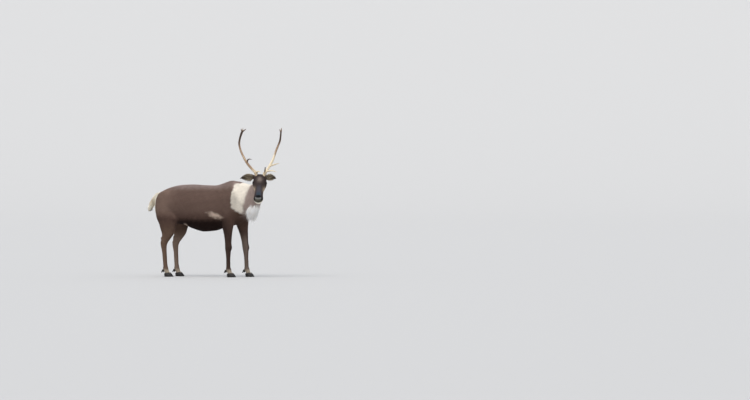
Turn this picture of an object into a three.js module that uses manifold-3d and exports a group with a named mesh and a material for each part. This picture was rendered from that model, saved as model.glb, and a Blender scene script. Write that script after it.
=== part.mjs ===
// Standing bull caribou with its head turned to its right, life size, in millimetres
// +X is the way the body faces, +Y its left side, +Z up; the soles stand at z = 0
import * as THREE from 'three';
import Module from 'manifold-3d';

const wasm = await Module();
wasm.setup();

// Gap that parts touching pieces
const GAP = 0.3;
// Corners round each kind of section
const TRUNK_CORNERS = 22;
const NECK_CORNERS = 20;
const HEAD_CORNERS = 20;
const LEG_CORNERS = 12;
const EAR_CORNERS = 10;
const TAIL_CORNERS = 10;
const TOE_CORNERS = 10;
const DEWCLAW_CORNERS = 6;
const BEAM_CORNERS = 8;
const TINE_CORNERS = 6;

// Sections along each kind of solid
const TRUNK_RINGS = 17;
const NECK_RINGS = 12;
const HEAD_RINGS = 16;
const LEG_RINGS = 17;
const EAR_RINGS = 8;
const TAIL_RINGS = 7;
const TOE_RINGS = 5;
const BEAM_RINGS = 15;
const TINE_RINGS = 5;
// How far a surface may move to save triangles
const SMOOTH_LOSS = 0.1;

// Trunk sections from rump to chest: place, top, underside and half width, coat included
const TRUNK = {
  x: [-632, -606, -530, -410, -260, -105, 50, 200, 330, 440, 545, 635, 676],
  top: [985, 1050, 1110, 1160, 1187, 1193, 1184, 1181, 1214, 1246, 1236, 1146, 1010],
  bottom: [860, 760, 690, 655, 658, 603, 567, 580, 618, 640, 668, 735, 850],
  half: [46, 118, 182, 212, 218, 232, 242, 236, 222, 204, 176, 122, 52],
};
const TRUNK_TOP_POWER = 2.05;
const TRUNK_LOW_POWER = 2.15;
const TRUNK_WIDEST = 0.5;

// Neck and mane sections: place, turn of the section, top, underside and half width
const NECK = {
  x: [360, 500, 600, 688, 756, 804, 842, 872],
  y: [0, -4, -18, -46, -86, -130, -176, -214],
  turn: [0, -3, -10, -22, -35, -48, -60, -68],
  top: [1180, 1238, 1222, 1206, 1214, 1256, 1298, 1294],
  bottom: [720, 705, 702, 700, 702, 712, 800, 1040],
  half: [165, 166, 150, 129, 101, 77, 69, 71],
};
const NECK_TOP_POWER = 2.0;
const NECK_LOW_POWER = 2.0;
const NECK_WIDEST = 0.58;

// Head frame: a place between the eyes, and the turn, drop and roll of the face
const EYE_LINE = [899, -260, 1190];
const HEAD_TURN = -75;
const HEAD_DROP = 50;
const HEAD_ROLL = -3;
// Head sections along the face from the eye line: above, below and half width
const HEAD = {
  along: [-142, -122, -70, -15, 30, 80, 128, 172, 212, 248, 276, 292],
  above: [22, 54, 76, 75, 69, 60, 53, 49, 47, 46, 36, 20],
  below: [52, 84, 106, 112, 105, 95, 86, 80, 82, 84, 76, 40],
  half: [34, 66, 88, 93, 86, 73, 63, 59, 61, 62, 50, 24],
};
const HEAD_TOP_POWER = 2.2;
const HEAD_LOW_POWER = 2.1;

// Eyeball, its place in the head frame and the way it looks
const EYE_RADIUS = 19;
const EYE_PLACE = [2, 70, 17];
const EYE_LOOK = [0.46, 0.85, 0.24];
const EYE_CORNERS = 12;
const LID_OPENING = { near: 15, far: 23, reach: 36, flat: 0.72 };

// Ears: root and tip in the head frame, length stations of half width and depth
const EARS = {
  right: { root: [-88, -60, 28], tip: [-82, -256, 0] },
  left: { root: [-88, 60, 28], tip: [-104, 200, 0] },
};
const EAR_SAG = [0, 0, 2];
const EAR_BROAD = [-0.35, 0, 0.94];
const EAR = {
  half: [22, 37, 54, 59, 50, 32, 9],
  back: [26, 24, 22, 19, 16, 11, 5],
  cup: [-20, -12, 2, 7, 6, 3, -2],
};

// Tail stations: place, height, half width and half thickness
const TAIL = {
  x: [-560, -606, -648, -682, -704, -716],
  z: [1062, 1030, 982, 932, 890, 866],
  half: [40, 46, 50, 46, 32, 8],
  thick: [30, 34, 36, 34, 24, 6],
};

// Leg stations from the shoulder or hip down: height, place, side, half length and half width
const FORE_LEG = {
  z: [1010, 860, 730, 630, 510, 430, 378, 325, 225, 140, 98, 66, 34],
  x: [440, 428, 412, 414, 418, 420, 424, 420, 420, 420, 424, 436, 450],
  y: [88, 112, 124, 130, 132, 132, 132, 132, 131, 130, 130, 130, 130],
  length: [112, 132, 112, 80, 58, 50, 51, 41, 33, 33, 41, 37, 41],
  width: [72, 84, 70, 56, 47, 42, 44, 37, 30, 31, 38, 36, 40],
};
const HIND_LEG = {
  z: [1030, 900, 780, 670, 570, 490, 440, 395, 300, 160, 102, 68, 34],
  x: [-430, -436, -422, -404, -402, -428, -454, -460, -452, -442, -436, -422, -408],
  y: [96, 122, 138, 144, 146, 146, 146, 145, 144, 142, 141, 141, 141],
  length: [130, 158, 156, 128, 98, 70, 56, 45, 36, 34, 42, 38, 42],
  width: [76, 88, 84, 68, 54, 45, 43, 39, 32, 32, 38, 36, 40],
};
// How far each leg stands ahead of its pair, at the foot and a metre up
const LEGS = [
  { name: 'fore_right', stations: FORE_LEG, side: -1, foot: 0, high: 0, cut: 604, joint: 376, ankle: 118 },
  { name: 'fore_left', stations: FORE_LEG, side: 1, foot: 150, high: 30, cut: 604, joint: 376, ankle: 118 },
  { name: 'hind_right', stations: HIND_LEG, side: -1, foot: 0, high: 0, cut: 640, joint: 432, ankle: 122 },
  { name: 'hind_left', stations: HIND_LEG, side: 1, foot: 38, high: 64, cut: 640, joint: 432, ankle: 122 },
];
// Cuts through the body: a place on each, the way through it and half sizes
const NECK_CUT = { place: [560, 0, 960], way: [0.94, 0, 0.34], width: 330, height: 330 };
const TAIL_CUT = { place: [-617, 0, 1000], way: [-0.9, 0, 0.44], width: 100, height: 170 };
const LEG_PLATE = { length: 150, thigh: 130, shank: 80 };
// Smallest scrap of a cut that counts as a piece, in cubic millimetres
const SMALLEST_PIECE = 4000;

// Cloven hoof: height stations of one toe
const TOE = {
  z: [0, 5, 24, 46, 66],
  x: [12, 12, 6, -3, -12],
  length: [50, 55, 50, 41, 32],
  width: [19, 23, 23, 21, 18],
};
const TOE_SPREAD = 25;
const TOE_SPLAY = 5;
const TOE_AHEAD = 4;
const TOE_HEEL = 0.82;
const TOE_TIP_POWER = 1.7;
const TOE_HEEL_POWER = 2.4;
// Slanting line where hair meets horn: height at the leg's middle and slope forward
const CORONET_HEIGHT = 50;
const CORONET_SLOPE = 0.22;

// Dewclaws behind the fetlock
const DEWCLAW = {
  behind: 30,
  height: 92,
  spread: 21,
  reach: [-24, 6, -40],
  radius: [12, 12, 9, 3],
  flat: 0.8,
};

// Antler beams in the head frame, from burr to crown, with half widths and thicknesses
const RIGHT_BEAM = {
  along: [-96, -128, -198, -296, -412, -524, -610, -655, -650],
  side: [-44, -56, -112, -178, -235, -280, -302, -290, -262],
  high: [30, 56, 54, 44, 32, 30, 62, 128, 240],
  half: [21, 19, 18, 22, 21, 17, 15, 15, 18],
  thick: [21, 19, 16, 15, 14, 13, 13, 12, 10],
};
const LEFT_BEAM = {
  along: [-96, -128, -198, -280, -382, -480, -580, -668, -700],
  side: [44, 58, 83, 111, 141, 159, 181, 214, 228],
  high: [30, 56, 48, 34, 22, 14, 20, 64, 190],
  half: [21, 19, 19, 25, 28, 23, 17, 14, 13],
  thick: [21, 19, 16, 15, 14, 13, 13, 12, 10],
};
// Tines grow from a place on the beam toward a tip; radius at root and bend near the tip
const RIGHT_TINES = [
  { name: 'brow', from: 1, tip: [-62, 11, 147], bend: [-12, 0, 14], half: 12, thick: 11 },
  { name: 'bez', from: 3, tip: [-214, -108, 214], bend: [-24, -16, 10], half: 12, thick: 11 },
  { name: 'back', from: 5.9, tip: [-662, -318, -26], bend: [6, 0, -4], half: 9, thick: 9 },
];
const LEFT_TINES = [
  { name: 'brow', from: 1, tip: [-75, 73, 242], bend: [-16, 0, 6], half: 26, thick: 9 },
  { name: 'side', from: 1.5, tip: [-82, 215, 141], bend: [-20, 6, 0], half: 11, thick: 10 },
  { name: 'bez', from: 2.8, tip: [-214, 238, 160], bend: [-20, 6, -14], half: 13, thick: 11 },
  { name: 'back', from: 6.1, tip: [-652, 186, -64], bend: [6, 0, -4], half: 9, thick: 9 },
];
// Crown points above each beam's end, with the beam's own end as their root
const RIGHT_CROWN = [
  { tip: [-652, -276, 297], half: 12, thick: 8 },
  { tip: [-632, -206, 320], half: 12, thick: 8 },
  { tip: [-676, -250, 286], half: 10, thick: 7 },
];
const LEFT_CROWN = [
  { tip: [-690, 241, 298], half: 12, thick: 8 },
  { tip: [-664, 214, 304], half: 9, thick: 7 },
];
// Beam places where the antler parts, counted in stations
const BEAM_PARTS = [3.55, 7.6];
const ANTLER_PLATE = 36;
const TINE_PLATE = 33;
// How far from a beam's skin its tines part
const FORK_CLEAR = 5;
// Share of the way between a fork and a tip where the point that names a piece lies
const SEED_SHARE = { crown: 0.6, tine: 0.65 };
// Way the broad side of a beam faces, how a tine tilts its own, and how it narrows to its tip
const PALM_WAY = [0.2, 0, 1];
const TINE_TILT = 0.4;
const TINE_TAPER = { loss: 0.78, power: 1.6 };
// How much a tine's bend counts in the way that it leaves the beam
const BEND_SHARE = 3;
// Step along a beam, in stations, that gives its way at a place
const BEAM_STEP = 0.05;
// Beam sections that stand in the coat of the crown
const PEDICLE_RINGS = 6;

const vec = (point) => new THREE.Vector3(...point);

// Head frame axes: forward along the face, to the animal's left, and up off the face
function headAxes() {
  const turn = THREE.MathUtils.degToRad(HEAD_TURN);
  const drop = THREE.MathUtils.degToRad(HEAD_DROP);
  const level = new THREE.Vector3(Math.cos(turn), Math.sin(turn), 0);
  const forward = level.clone().multiplyScalar(Math.cos(drop));
  forward.z = -Math.sin(drop);
  const up = level.clone().multiplyScalar(Math.sin(drop));
  up.z = Math.cos(drop);
  up.applyAxisAngle(forward, THREE.MathUtils.degToRad(HEAD_ROLL));
  const left = new THREE.Vector3().crossVectors(up, forward);
  return { forward, left, up };
}

const HEAD_AXES = headAxes();

// Direction in the head frame turned to the body's frame
function headWay([along, side, high]) {
  return new THREE.Vector3()
    .addScaledVector(HEAD_AXES.forward, along)
    .addScaledVector(HEAD_AXES.left, side)
    .addScaledVector(HEAD_AXES.up, high);
}

// Point in the head frame moved to the body's frame
function headPoint(place) {
  return headWay(place).add(vec(EYE_LINE));
}

// Smooth value between stations that never overshoots them
function between(values, place) {
  const last = values.length - 1;
  const start = Math.min(Math.floor(place), last - 1);
  const t = place - start;
  const step = (k) => values[k + 1] - values[k];
  const slope = (k) => {
    if (k === 0) return step(0);
    if (k === last) return step(last - 1);
    const product = step(k - 1) * step(k);
    return product > 0 ? (2 * product) / (step(k - 1) + step(k)) : 0;
  };
  const flat = t * t * (3 - 2 * t);
  return (
    values[start] * (1 - flat) +
    values[start + 1] * flat +
    slope(start) * t * (1 - t) * (1 - t) -
    slope(start + 1) * t * t * (1 - t)
  );
}

// All columns of a station table at evenly spaced places
function resample(stations, rings) {
  const keys = Object.keys(stations);
  const last = stations[keys[0]].length - 1;
  return Array.from({ length: rings }, (_, i) => {
    const place = (last * i) / (rings - 1);
    return Object.fromEntries(keys.map((key) => [key, between(stations[key], place)]));
  });
}

// Ring of points in the plane of side and up: half wide, rise above, drop below
function sectionRing({ centre, side, up, half, rise, drop, topPower = 2, lowPower = 2 }, corners) {
  return Array.from({ length: corners }, (_, i) => {
    const angle = (2 * Math.PI * i) / corners;
    const [c, s] = [Math.cos(angle), Math.sin(angle)];
    const power = 2 / (s >= 0 ? topPower : lowPower);
    const across = half * Math.sign(c) * Math.abs(c) ** power;
    const high = (s >= 0 ? rise : drop) * Math.sign(s) * Math.abs(s) ** power;
    return centre.clone().addScaledVector(side, across).addScaledVector(up, high);
  });
}

// Manifold from points and triangles, turned outward where it came inside out
function solidFrom(points, triangles) {
  const vertProperties = new Float32Array(points.flatMap((p) => [p.x, p.y, p.z]));
  const build = (faces) =>
    new wasm.Manifold(new wasm.Mesh({ numProp: 3, vertProperties, triVerts: new Uint32Array(faces.flat()) }));
  const solid = build(triangles);
  return solid.volume() > 0 ? solid : build(triangles.map(([a, b, c]) => [a, c, b]));
}

// Solid skinned over rings of equal count, closed at both ends
function loft(rings) {
  const corners = rings[0].length;
  const points = rings.flat();
  const triangles = [];
  for (let r = 0; r < rings.length - 1; r++) {
    for (let i = 0; i < corners; i++) {
      const a = r * corners + i;
      const b = r * corners + ((i + 1) % corners);
      triangles.push([a, b, b + corners], [a, b + corners, a + corners]);
    }
  }
  const addCap = (ring, start, flip) => {
    const middle = ring.reduce((sum, p) => sum.add(p), new THREE.Vector3()).divideScalar(corners);
    points.push(middle);
    for (let i = 0; i < corners; i++) {
      const a = start + i;
      const b = start + ((i + 1) % corners);
      triangles.push(flip ? [b, a, points.length - 1] : [a, b, points.length - 1]);
    }
  };
  addCap(rings[0], 0, true);
  addCap(rings[rings.length - 1], (rings.length - 1) * corners, false);
  return solidFrom(points, triangles);
}

// Solid swept along centres, with its side kept near a given way
function sweep(path, sideWay, corners) {
  const rings = path.map((station, i) => {
    const before = path[Math.max(i - 1, 0)].centre;
    const after = path[Math.min(i + 1, path.length - 1)].centre;
    const tangent = after.clone().sub(before).normalize();
    const side = sideWay.clone().addScaledVector(tangent, -sideWay.dot(tangent)).normalize();
    const up = new THREE.Vector3().crossVectors(tangent, side);
    const { centre, half, thick } = station;
    return sectionRing({ centre, side, up, half, rise: thick, drop: thick }, corners);
  });
  return loft(rings);
}

// Thin plate that parts a solid: middle, way through it and half sizes across
function plate(centre, normal, halfSide, halfUp) {
  const way = normal.clone().normalize();
  const hint = Math.abs(way.z) > 0.9 ? new THREE.Vector3(1, 0, 0) : new THREE.Vector3(0, 0, 1);
  const side = new THREE.Vector3().crossVectors(hint, way).normalize();
  const up = new THREE.Vector3().crossVectors(way, side);
  const frame = new THREE.Matrix4().makeBasis(side, up, way).setPosition(centre);
  return wasm.Manifold.cube([2 * halfSide, 2 * halfUp, GAP], true).transform(frame.elements);
}

const joined = (solids) => solids.reduce((whole, solid) => whole.add(solid));

// Trunk with level-sided sections
function trunkSolid() {
  const rings = resample(TRUNK, TRUNK_RINGS).map(({ x, top, bottom, half }) => {
    const level = bottom + TRUNK_WIDEST * (top - bottom);
    const section = {
      centre: new THREE.Vector3(x, 0, level),
      side: new THREE.Vector3(0, 1, 0),
      up: new THREE.Vector3(0, 0, 1),
      half,
      rise: top - level,
      drop: level - bottom,
      topPower: TRUNK_TOP_POWER,
      lowPower: TRUNK_LOW_POWER,
    };
    return sectionRing(section, TRUNK_CORNERS);
  });
  return loft(rings);
}

// Neck with its hanging mane, in upright sections that turn with the head
function neckSolid() {
  const rings = resample(NECK, NECK_RINGS).map(({ x, y, turn, top, bottom, half }) => {
    const level = bottom + NECK_WIDEST * (top - bottom);
    const angle = THREE.MathUtils.degToRad(turn);
    const section = {
      centre: new THREE.Vector3(x, y, level),
      side: new THREE.Vector3(-Math.sin(angle), Math.cos(angle), 0),
      up: new THREE.Vector3(0, 0, 1),
      half,
      rise: top - level,
      drop: level - bottom,
      topPower: NECK_TOP_POWER,
      lowPower: NECK_LOW_POWER,
    };
    return sectionRing(section, NECK_CORNERS);
  });
  return loft(rings);
}

// Head from the back of the skull to the nose, larger by a clearance where it only cuts its seat
function headSolid(clearance) {
  const rings = resample(HEAD, HEAD_RINGS).map(({ along, above, below, half }) => {
    const section = {
      centre: headPoint([along + Math.sign(along) * clearance, 0, 0]),
      side: HEAD_AXES.left,
      up: HEAD_AXES.up,
      half: half + clearance,
      rise: above + clearance,
      drop: below + clearance,
      topPower: HEAD_TOP_POWER,
      lowPower: HEAD_LOW_POWER,
    };
    return sectionRing(section, HEAD_CORNERS);
  });
  return loft(rings);
}

// Cupped ear on one side, its hollow to the front; larger by a clearance where it cuts its seat
function earSolid(ear, clearance) {
  const root = headPoint(ear.root);
  const tip = headPoint(ear.tip);
  const side = Math.sign(ear.tip[1]);
  const sag = headWay(EAR_SAG);
  const way = tip.clone().sub(root).normalize();
  const broad = headWay(EAR_BROAD).normalize();
  broad.addScaledVector(way, -broad.dot(way)).normalize();
  const behind = new THREE.Vector3().crossVectors(broad, way).multiplyScalar(side);
  const rings = resample(EAR, EAR_RINGS).map(({ half, back, cup }, i, all) => {
    const t = i / (all.length - 1);
    const centre = root.clone().lerp(tip, t).addScaledVector(sag, 4 * t * (1 - t));
    return Array.from({ length: EAR_CORNERS }, (_, k) => {
      const angle = (2 * Math.PI * k) / EAR_CORNERS;
      const [c, s] = [Math.cos(angle), Math.sin(angle)];
      const depth = s >= 0 ? (back + clearance) * s : (clearance - cup) * s;
      return centre.clone().addScaledVector(broad, (half + clearance) * c).addScaledVector(behind, depth);
    });
  });
  return loft(rings);
}

// Tail held a little off the rump
function tailSolid() {
  const path = resample(TAIL, TAIL_RINGS).map(({ x, z, half, thick }) => ({
    centre: new THREE.Vector3(x, 0, z),
    half,
    thick,
  }));
  return sweep(path, new THREE.Vector3(0, 1, 0), TAIL_CORNERS);
}

// How far a leg stands ahead of its pair at a height
function legShift(leg, z) {
  return leg.foot + (leg.high - leg.foot) * (z / 1000) ** 2;
}

// Centre of a leg at a height, found between its stations
function legCentre(leg, z) {
  const heights = leg.stations.z;
  const below = Math.max(heights.findIndex((h) => h <= z), 1);
  const place = below - (z - heights[below]) / (heights[below - 1] - heights[below]);
  const x = between(leg.stations.x, place) + legShift(leg, z);
  return new THREE.Vector3(x, leg.side * between(leg.stations.y, place), z);
}

// Whole leg in level sections, cut off at the coronet
function legSolid(leg) {
  const rings = resample(leg.stations, LEG_RINGS).map(({ z, x, y, length, width }) => {
    const section = {
      centre: new THREE.Vector3(x + legShift(leg, z), leg.side * y, z),
      side: new THREE.Vector3(0, 1, 0),
      up: new THREE.Vector3(1, 0, 0),
      half: width,
      rise: length,
      drop: length,
    };
    return sectionRing(section, LEG_CORNERS);
  });
  const { normal, offset } = coronetPlane(leg, GAP / 2);
  return loft(rings).trimByPlane(normal.toArray(), offset);
}

// Plane between hair and horn of one foot, moved up by a clearance
function coronetPlane(leg, clearance) {
  const centre = legCentre(leg, CORONET_HEIGHT);
  const normal = new THREE.Vector3(-CORONET_SLOPE, 0, 1).normalize();
  return { normal, offset: normal.dot(centre) + clearance };
}

// One toe of a cloven hoof, flat underneath
function toeSolid(leg, toeSide) {
  const foot = legCentre(leg, CORONET_HEIGHT);
  const splay = THREE.MathUtils.degToRad(TOE_SPLAY * toeSide);
  const rings = resample(TOE, TOE_RINGS).map(({ z, x, length, width }) => {
    const ahead = new THREE.Vector3(Math.cos(splay), Math.sin(splay), 0);
    const centre = new THREE.Vector3(foot.x + TOE_AHEAD, foot.y + toeSide * TOE_SPREAD, z);
    const section = {
      centre: centre.addScaledVector(ahead, x),
      side: new THREE.Vector3(-Math.sin(splay), Math.cos(splay), 0),
      up: ahead,
      half: width,
      rise: length,
      drop: length * TOE_HEEL,
      topPower: TOE_TIP_POWER,
      lowPower: TOE_HEEL_POWER,
    };
    return sectionRing(section, TOE_CORNERS);
  });
  const { normal, offset } = coronetPlane(leg, -GAP / 2);
  return loft(rings).trimByPlane(normal.clone().negate().toArray(), -offset);
}

// Dewclaw behind the fetlock, larger by a clearance where it only cuts its seat
function dewclawSolid(leg, clawSide, clearance) {
  const start = legCentre(leg, DEWCLAW.height);
  start.x -= DEWCLAW.behind;
  start.y += clawSide * DEWCLAW.spread;
  const reach = new THREE.Vector3(DEWCLAW.reach[0], clawSide * DEWCLAW.reach[1], DEWCLAW.reach[2]);
  const path = DEWCLAW.radius.map((radius, i) => {
    const centre = start.clone().addScaledVector(reach, i / (DEWCLAW.radius.length - 1));
    return { centre, half: radius + clearance, thick: radius * DEWCLAW.flat + clearance };
  });
  const overshoot = reach.clone().normalize().multiplyScalar(clearance);
  path[0].centre.sub(overshoot);
  path[path.length - 1].centre.add(overshoot);
  return sweep(path, new THREE.Vector3(0, 1, 0), DEWCLAW_CORNERS);
}

// Eyeball, larger by a clearance where it only cuts its socket
function eyeSolid(side, clearance) {
  const centre = headPoint([EYE_PLACE[0], side * EYE_PLACE[1], EYE_PLACE[2]]);
  return wasm.Manifold.sphere(EYE_RADIUS + clearance, EYE_CORNERS).translate(centre.toArray());
}

// Opening between the lids, widening from the eyeball out through the coat
function lidOpening(side) {
  const centre = headPoint([EYE_PLACE[0], side * EYE_PLACE[1], EYE_PLACE[2]]);
  const look = headWay([EYE_LOOK[0], side * EYE_LOOK[1], EYE_LOOK[2]]).normalize();
  const path = [0, 1].map((t) => {
    const half = THREE.MathUtils.lerp(LID_OPENING.near, LID_OPENING.far, t);
    const middle = centre.clone().addScaledVector(look, t * LID_OPENING.reach);
    return { centre: middle, half, thick: half * LID_OPENING.flat };
  });
  return sweep(path, HEAD_AXES.forward, EYE_CORNERS);
}

// Beam stations of one antler as a path in the body's frame
function beamPath(beam, rings) {
  return resample(beam, rings).map(({ along, side, high, half, thick }) => ({
    centre: headPoint([along, side, high]),
    half,
    thick,
  }));
}

// Place and way of a beam at a station place
function beamAt(beam, place) {
  const at = (spot) => headPoint(['along', 'side', 'high'].map((key) => between(beam[key], spot)));
  const way = at(place + BEAM_STEP).sub(at(place - BEAM_STEP)).normalize();
  return { centre: at(place), way };
}

// Tapered tine from a root to a tip, bent at its middle
function tineSolid(root, { tip, bend = [0, 0, 0], half, thick }, sideWay) {
  const end = headPoint(tip);
  const curve = headWay(bend);
  const path = Array.from({ length: TINE_RINGS }, (_, i) => {
    const t = i / (TINE_RINGS - 1);
    const taper = 1 - TINE_TAPER.loss * t ** TINE_TAPER.power;
    const centre = root.clone().lerp(end, t).addScaledVector(curve, 4 * t * (1 - t));
    return { centre, half: half * taper, thick: thick * taper };
  });
  return sweep(path, sideWay, TINE_CORNERS);
}

// One antler as named pieces, parted across its main forks
function antlerPieces(beam, tines, crown, label) {
  const palmWay = headWay(PALM_WAY).normalize();
  const tineSide = HEAD_AXES.up.clone().lerp(HEAD_AXES.forward, TINE_TILT);
  const beamSolid = sweep(beamPath(beam, BEAM_RINGS), palmWay, BEAM_CORNERS);
  const topEnd = beamPath(beam, 2)[1].centre;
  const forks = tines.map((tine) => ({ ...tine, ...beamAt(beam, tine.from) }));
  const solids = [
    beamSolid,
    ...forks.map((fork) => tineSolid(fork.centre, fork, tineSide)),
    ...crown.map((point) => tineSolid(topEnd, point, palmWay)),
  ];
  const plates = BEAM_PARTS.map((place) => {
    const { centre, way } = beamAt(beam, place);
    return plate(centre, way, ANTLER_PLATE, ANTLER_PLATE);
  });
  for (const fork of forks) {
    const way = tineWay(fork);
    const clear = between(beam.half, fork.from) + FORK_CLEAR;
    plates.push(plate(fork.centre.clone().addScaledVector(way, clear), way, TINE_PLATE, TINE_PLATE));
  }
  const seeds = {
    [`antler_${label}_beam_lower`]: beamAt(beam, BEAM_PARTS[0] / 2).centre,
    [`antler_${label}_beam_upper`]: beamAt(beam, (BEAM_PARTS[0] + BEAM_PARTS[1]) / 2).centre,
    [`antler_${label}_crown`]: headPoint(crown[0].tip).lerp(topEnd, SEED_SHARE.crown),
  };
  for (const fork of forks) {
    const within = fork.centre.clone().lerp(headPoint(fork.tip), SEED_SHARE.tine);
    seeds[`antler_${label}_${fork.name}_tine`] = within;
  }
  return partInto(joined(solids).subtract(joined(plates)), seeds);
}

// Way a tine leaves its beam, bend included
function tineWay(fork) {
  const straight = headPoint(fork.tip).sub(fork.centre);
  return straight.add(headWay(fork.bend).multiplyScalar(BEND_SHARE)).normalize();
}

// Loose pieces of a parted solid, each named by the nearest seed
function partInto(solid, seeds) {
  const pieces = {};
  for (const piece of solid.decompose().filter((part) => part.volume() > SMALLEST_PIECE)) {
    const { min, max } = piece.boundingBox();
    const middle = vec(min).add(vec(max)).multiplyScalar(0.5);
    const distance = (name) => seeds[name].distanceTo(middle);
    const names = Object.keys(seeds).sort((a, b) => distance(a) - distance(b));
    if (pieces[names[0]]) {
      const place = middle.toArray().map((v) => v.toFixed(1));
      throw new Error(`two pieces for ${names[0]}: ${piece.volume().toFixed(1)} mm3 at ${place}`);
    }
    pieces[names[0]] = piece;
  }
  const missing = Object.keys(seeds).filter((name) => !pieces[name]);
  if (missing.length) throw new Error(`no piece for ${missing}`);
  return pieces;
}

// Plates that part the body at the neck, the tail and the leg joints
function bodyPlates() {
  const plates = [NECK_CUT, TAIL_CUT].map(({ place, way, width, height }) =>
    plate(vec(place), vec(way), width, height),
  );
  const level = new THREE.Vector3(0, 0, 1);
  for (const leg of LEGS) {
    for (const height of [leg.cut, leg.joint, leg.ankle]) {
      const width = height === leg.cut ? LEG_PLATE.thigh : LEG_PLATE.shank;
      plates.push(plate(legCentre(leg, height), level, width, LEG_PLATE.length));
    }
  }
  return plates;
}

// Points that name the parts of the body
function bodySeeds() {
  const seeds = {
    trunk: new THREE.Vector3(-20, 0, 900),
    neck: new THREE.Vector3(730, -70, 980),
    tail: new THREE.Vector3(-668, 0, 950),
  };
  for (const leg of LEGS) {
    seeds[`${leg.name}_upper`] = legCentre(leg, (leg.cut + leg.joint) / 2);
    seeds[`${leg.name}_cannon`] = legCentre(leg, (leg.joint + leg.ankle) / 2);
    seeds[`${leg.name}_foot`] = legCentre(leg, (leg.ankle + CORONET_HEIGHT) / 2);
  }
  return seeds;
}

// Horn pieces of the feet: two toes and two dewclaws on each leg
function footHorn() {
  const pieces = {};
  for (const leg of LEGS) {
    for (const [label, side] of [['outer', leg.side], ['inner', -leg.side]]) {
      pieces[`${leg.name}_hoof_${label}`] = toeSolid(leg, side);
      pieces[`${leg.name}_dewclaw_${label}`] = dewclawSolid(leg, side, 0);
    }
  }
  return pieces;
}

// Every piece of the animal by name
function animalPieces() {
  const antlers = {
    ...antlerPieces(RIGHT_BEAM, RIGHT_TINES, RIGHT_CROWN, 'right'),
    ...antlerPieces(LEFT_BEAM, LEFT_TINES, LEFT_CROWN, 'left'),
  };
  const pedicles = [RIGHT_BEAM, LEFT_BEAM].map(pedicleSeat);
  const sockets = [1, -1].flatMap((side) => [eyeSolid(side, GAP), lidOpening(side)]);
  const headSeat = headSolid(GAP);
  const head = headSolid(0).subtract(joined([...sockets, ...pedicles]));
  const ears = Object.entries(EARS).map(([label, ear]) => {
    const solid = earSolid(ear, 0).subtract(joined([headSeat, ...pedicles]));
    return partInto(solid, { [`ear_${label}`]: headPoint(ear.tip) });
  });
  const body = joined([trunkSolid(), neckSolid(), tailSolid(), ...LEGS.map(legSolid)]);
  const seats = joined([
    headSeat,
    ...Object.values(EARS).map((ear) => earSolid(ear, GAP)),
    ...LEGS.flatMap((leg) => [1, -1].map((side) => dewclawSolid(leg, side, GAP))),
    ...pedicles,
  ]);
  return {
    ...partInto(body.subtract(seats).subtract(joined(bodyPlates())), bodySeeds()),
    ...partInto(head, { head: headPoint([70, 0, -15]) }),
    ...Object.assign({}, ...ears),
    eye_left: eyeSolid(1, 0),
    eye_right: eyeSolid(-1, 0),
    ...footHorn(),
    ...antlers,
  };
}

// Room that the base of an antler takes in the coat of the crown
function pedicleSeat(beam) {
  const path = beamPath(beam, BEAM_RINGS).slice(0, PEDICLE_RINGS).map((station) => ({
    centre: station.centre,
    half: station.half + GAP,
    thick: station.thick + GAP,
  }));
  const back = path[0].centre.clone().sub(path[1].centre).normalize();
  path[0].centre.addScaledVector(back, GAP);
  return sweep(path, headWay(PALM_WAY).normalize(), BEAM_CORNERS);
}

// Material of a piece, chosen by what its name stands for
function pieceMaterial(name) {
  const looks = [
    ['antler', 'antler', 0xcbb79a, 0.6],
    ['hoof', 'hoof_horn', 0x1d1a19, 0.5],
    ['dewclaw', 'hoof_horn', 0x1d1a19, 0.5],
    ['eye', 'eye', 0x140f0d, 0.1],
    ['neck', 'pale_coat', 0xcfc4b6, 0.9],
    ['tail', 'white_coat', 0xe8e2d8, 0.9],
    ['trunk', 'brown_coat', 0x64554d, 0.9],
    ['', 'dark_coat', 0x4a3f39, 0.9],
  ];
  const [, slot, color, roughness] = looks.find(([word]) => name.includes(word));
  const material = new THREE.MeshStandardMaterial({ color, roughness });
  material.name = slot;
  return material;
}

// Mesh of a piece under its name
function pieceMesh(name, solid) {
  const { vertProperties, triVerts } = solid.getMesh();
  const geometry = new THREE.BufferGeometry();
  geometry.setAttribute('position', new THREE.BufferAttribute(new Float32Array(vertProperties), 3));
  geometry.setIndex(new THREE.BufferAttribute(new Uint32Array(triVerts), 1));
  const mesh = new THREE.Mesh(geometry, pieceMaterial(name));
  mesh.name = name;
  return mesh;
}

// Middle of the footprint of all the pieces
function footprintMiddle(pieces) {
  const box = new THREE.Box3();
  for (const solid of Object.values(pieces)) {
    const { min, max } = solid.boundingBox();
    box.expandByPoint(vec(min)).expandByPoint(vec(max));
  }
  const middle = box.getCenter(new THREE.Vector3());
  return [middle.x, middle.y, box.min.z];
}

const pieces = animalPieces();
const offset = footprintMiddle(pieces).map((value) => -value);
const group = new THREE.Group();
group.name = 'caribou';
for (const [name, solid] of Object.entries(pieces)) {
  group.add(pieceMesh(name, solid.simplify(SMOOTH_LOSS).translate(offset)));
}

export default group;
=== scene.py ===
import math

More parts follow.
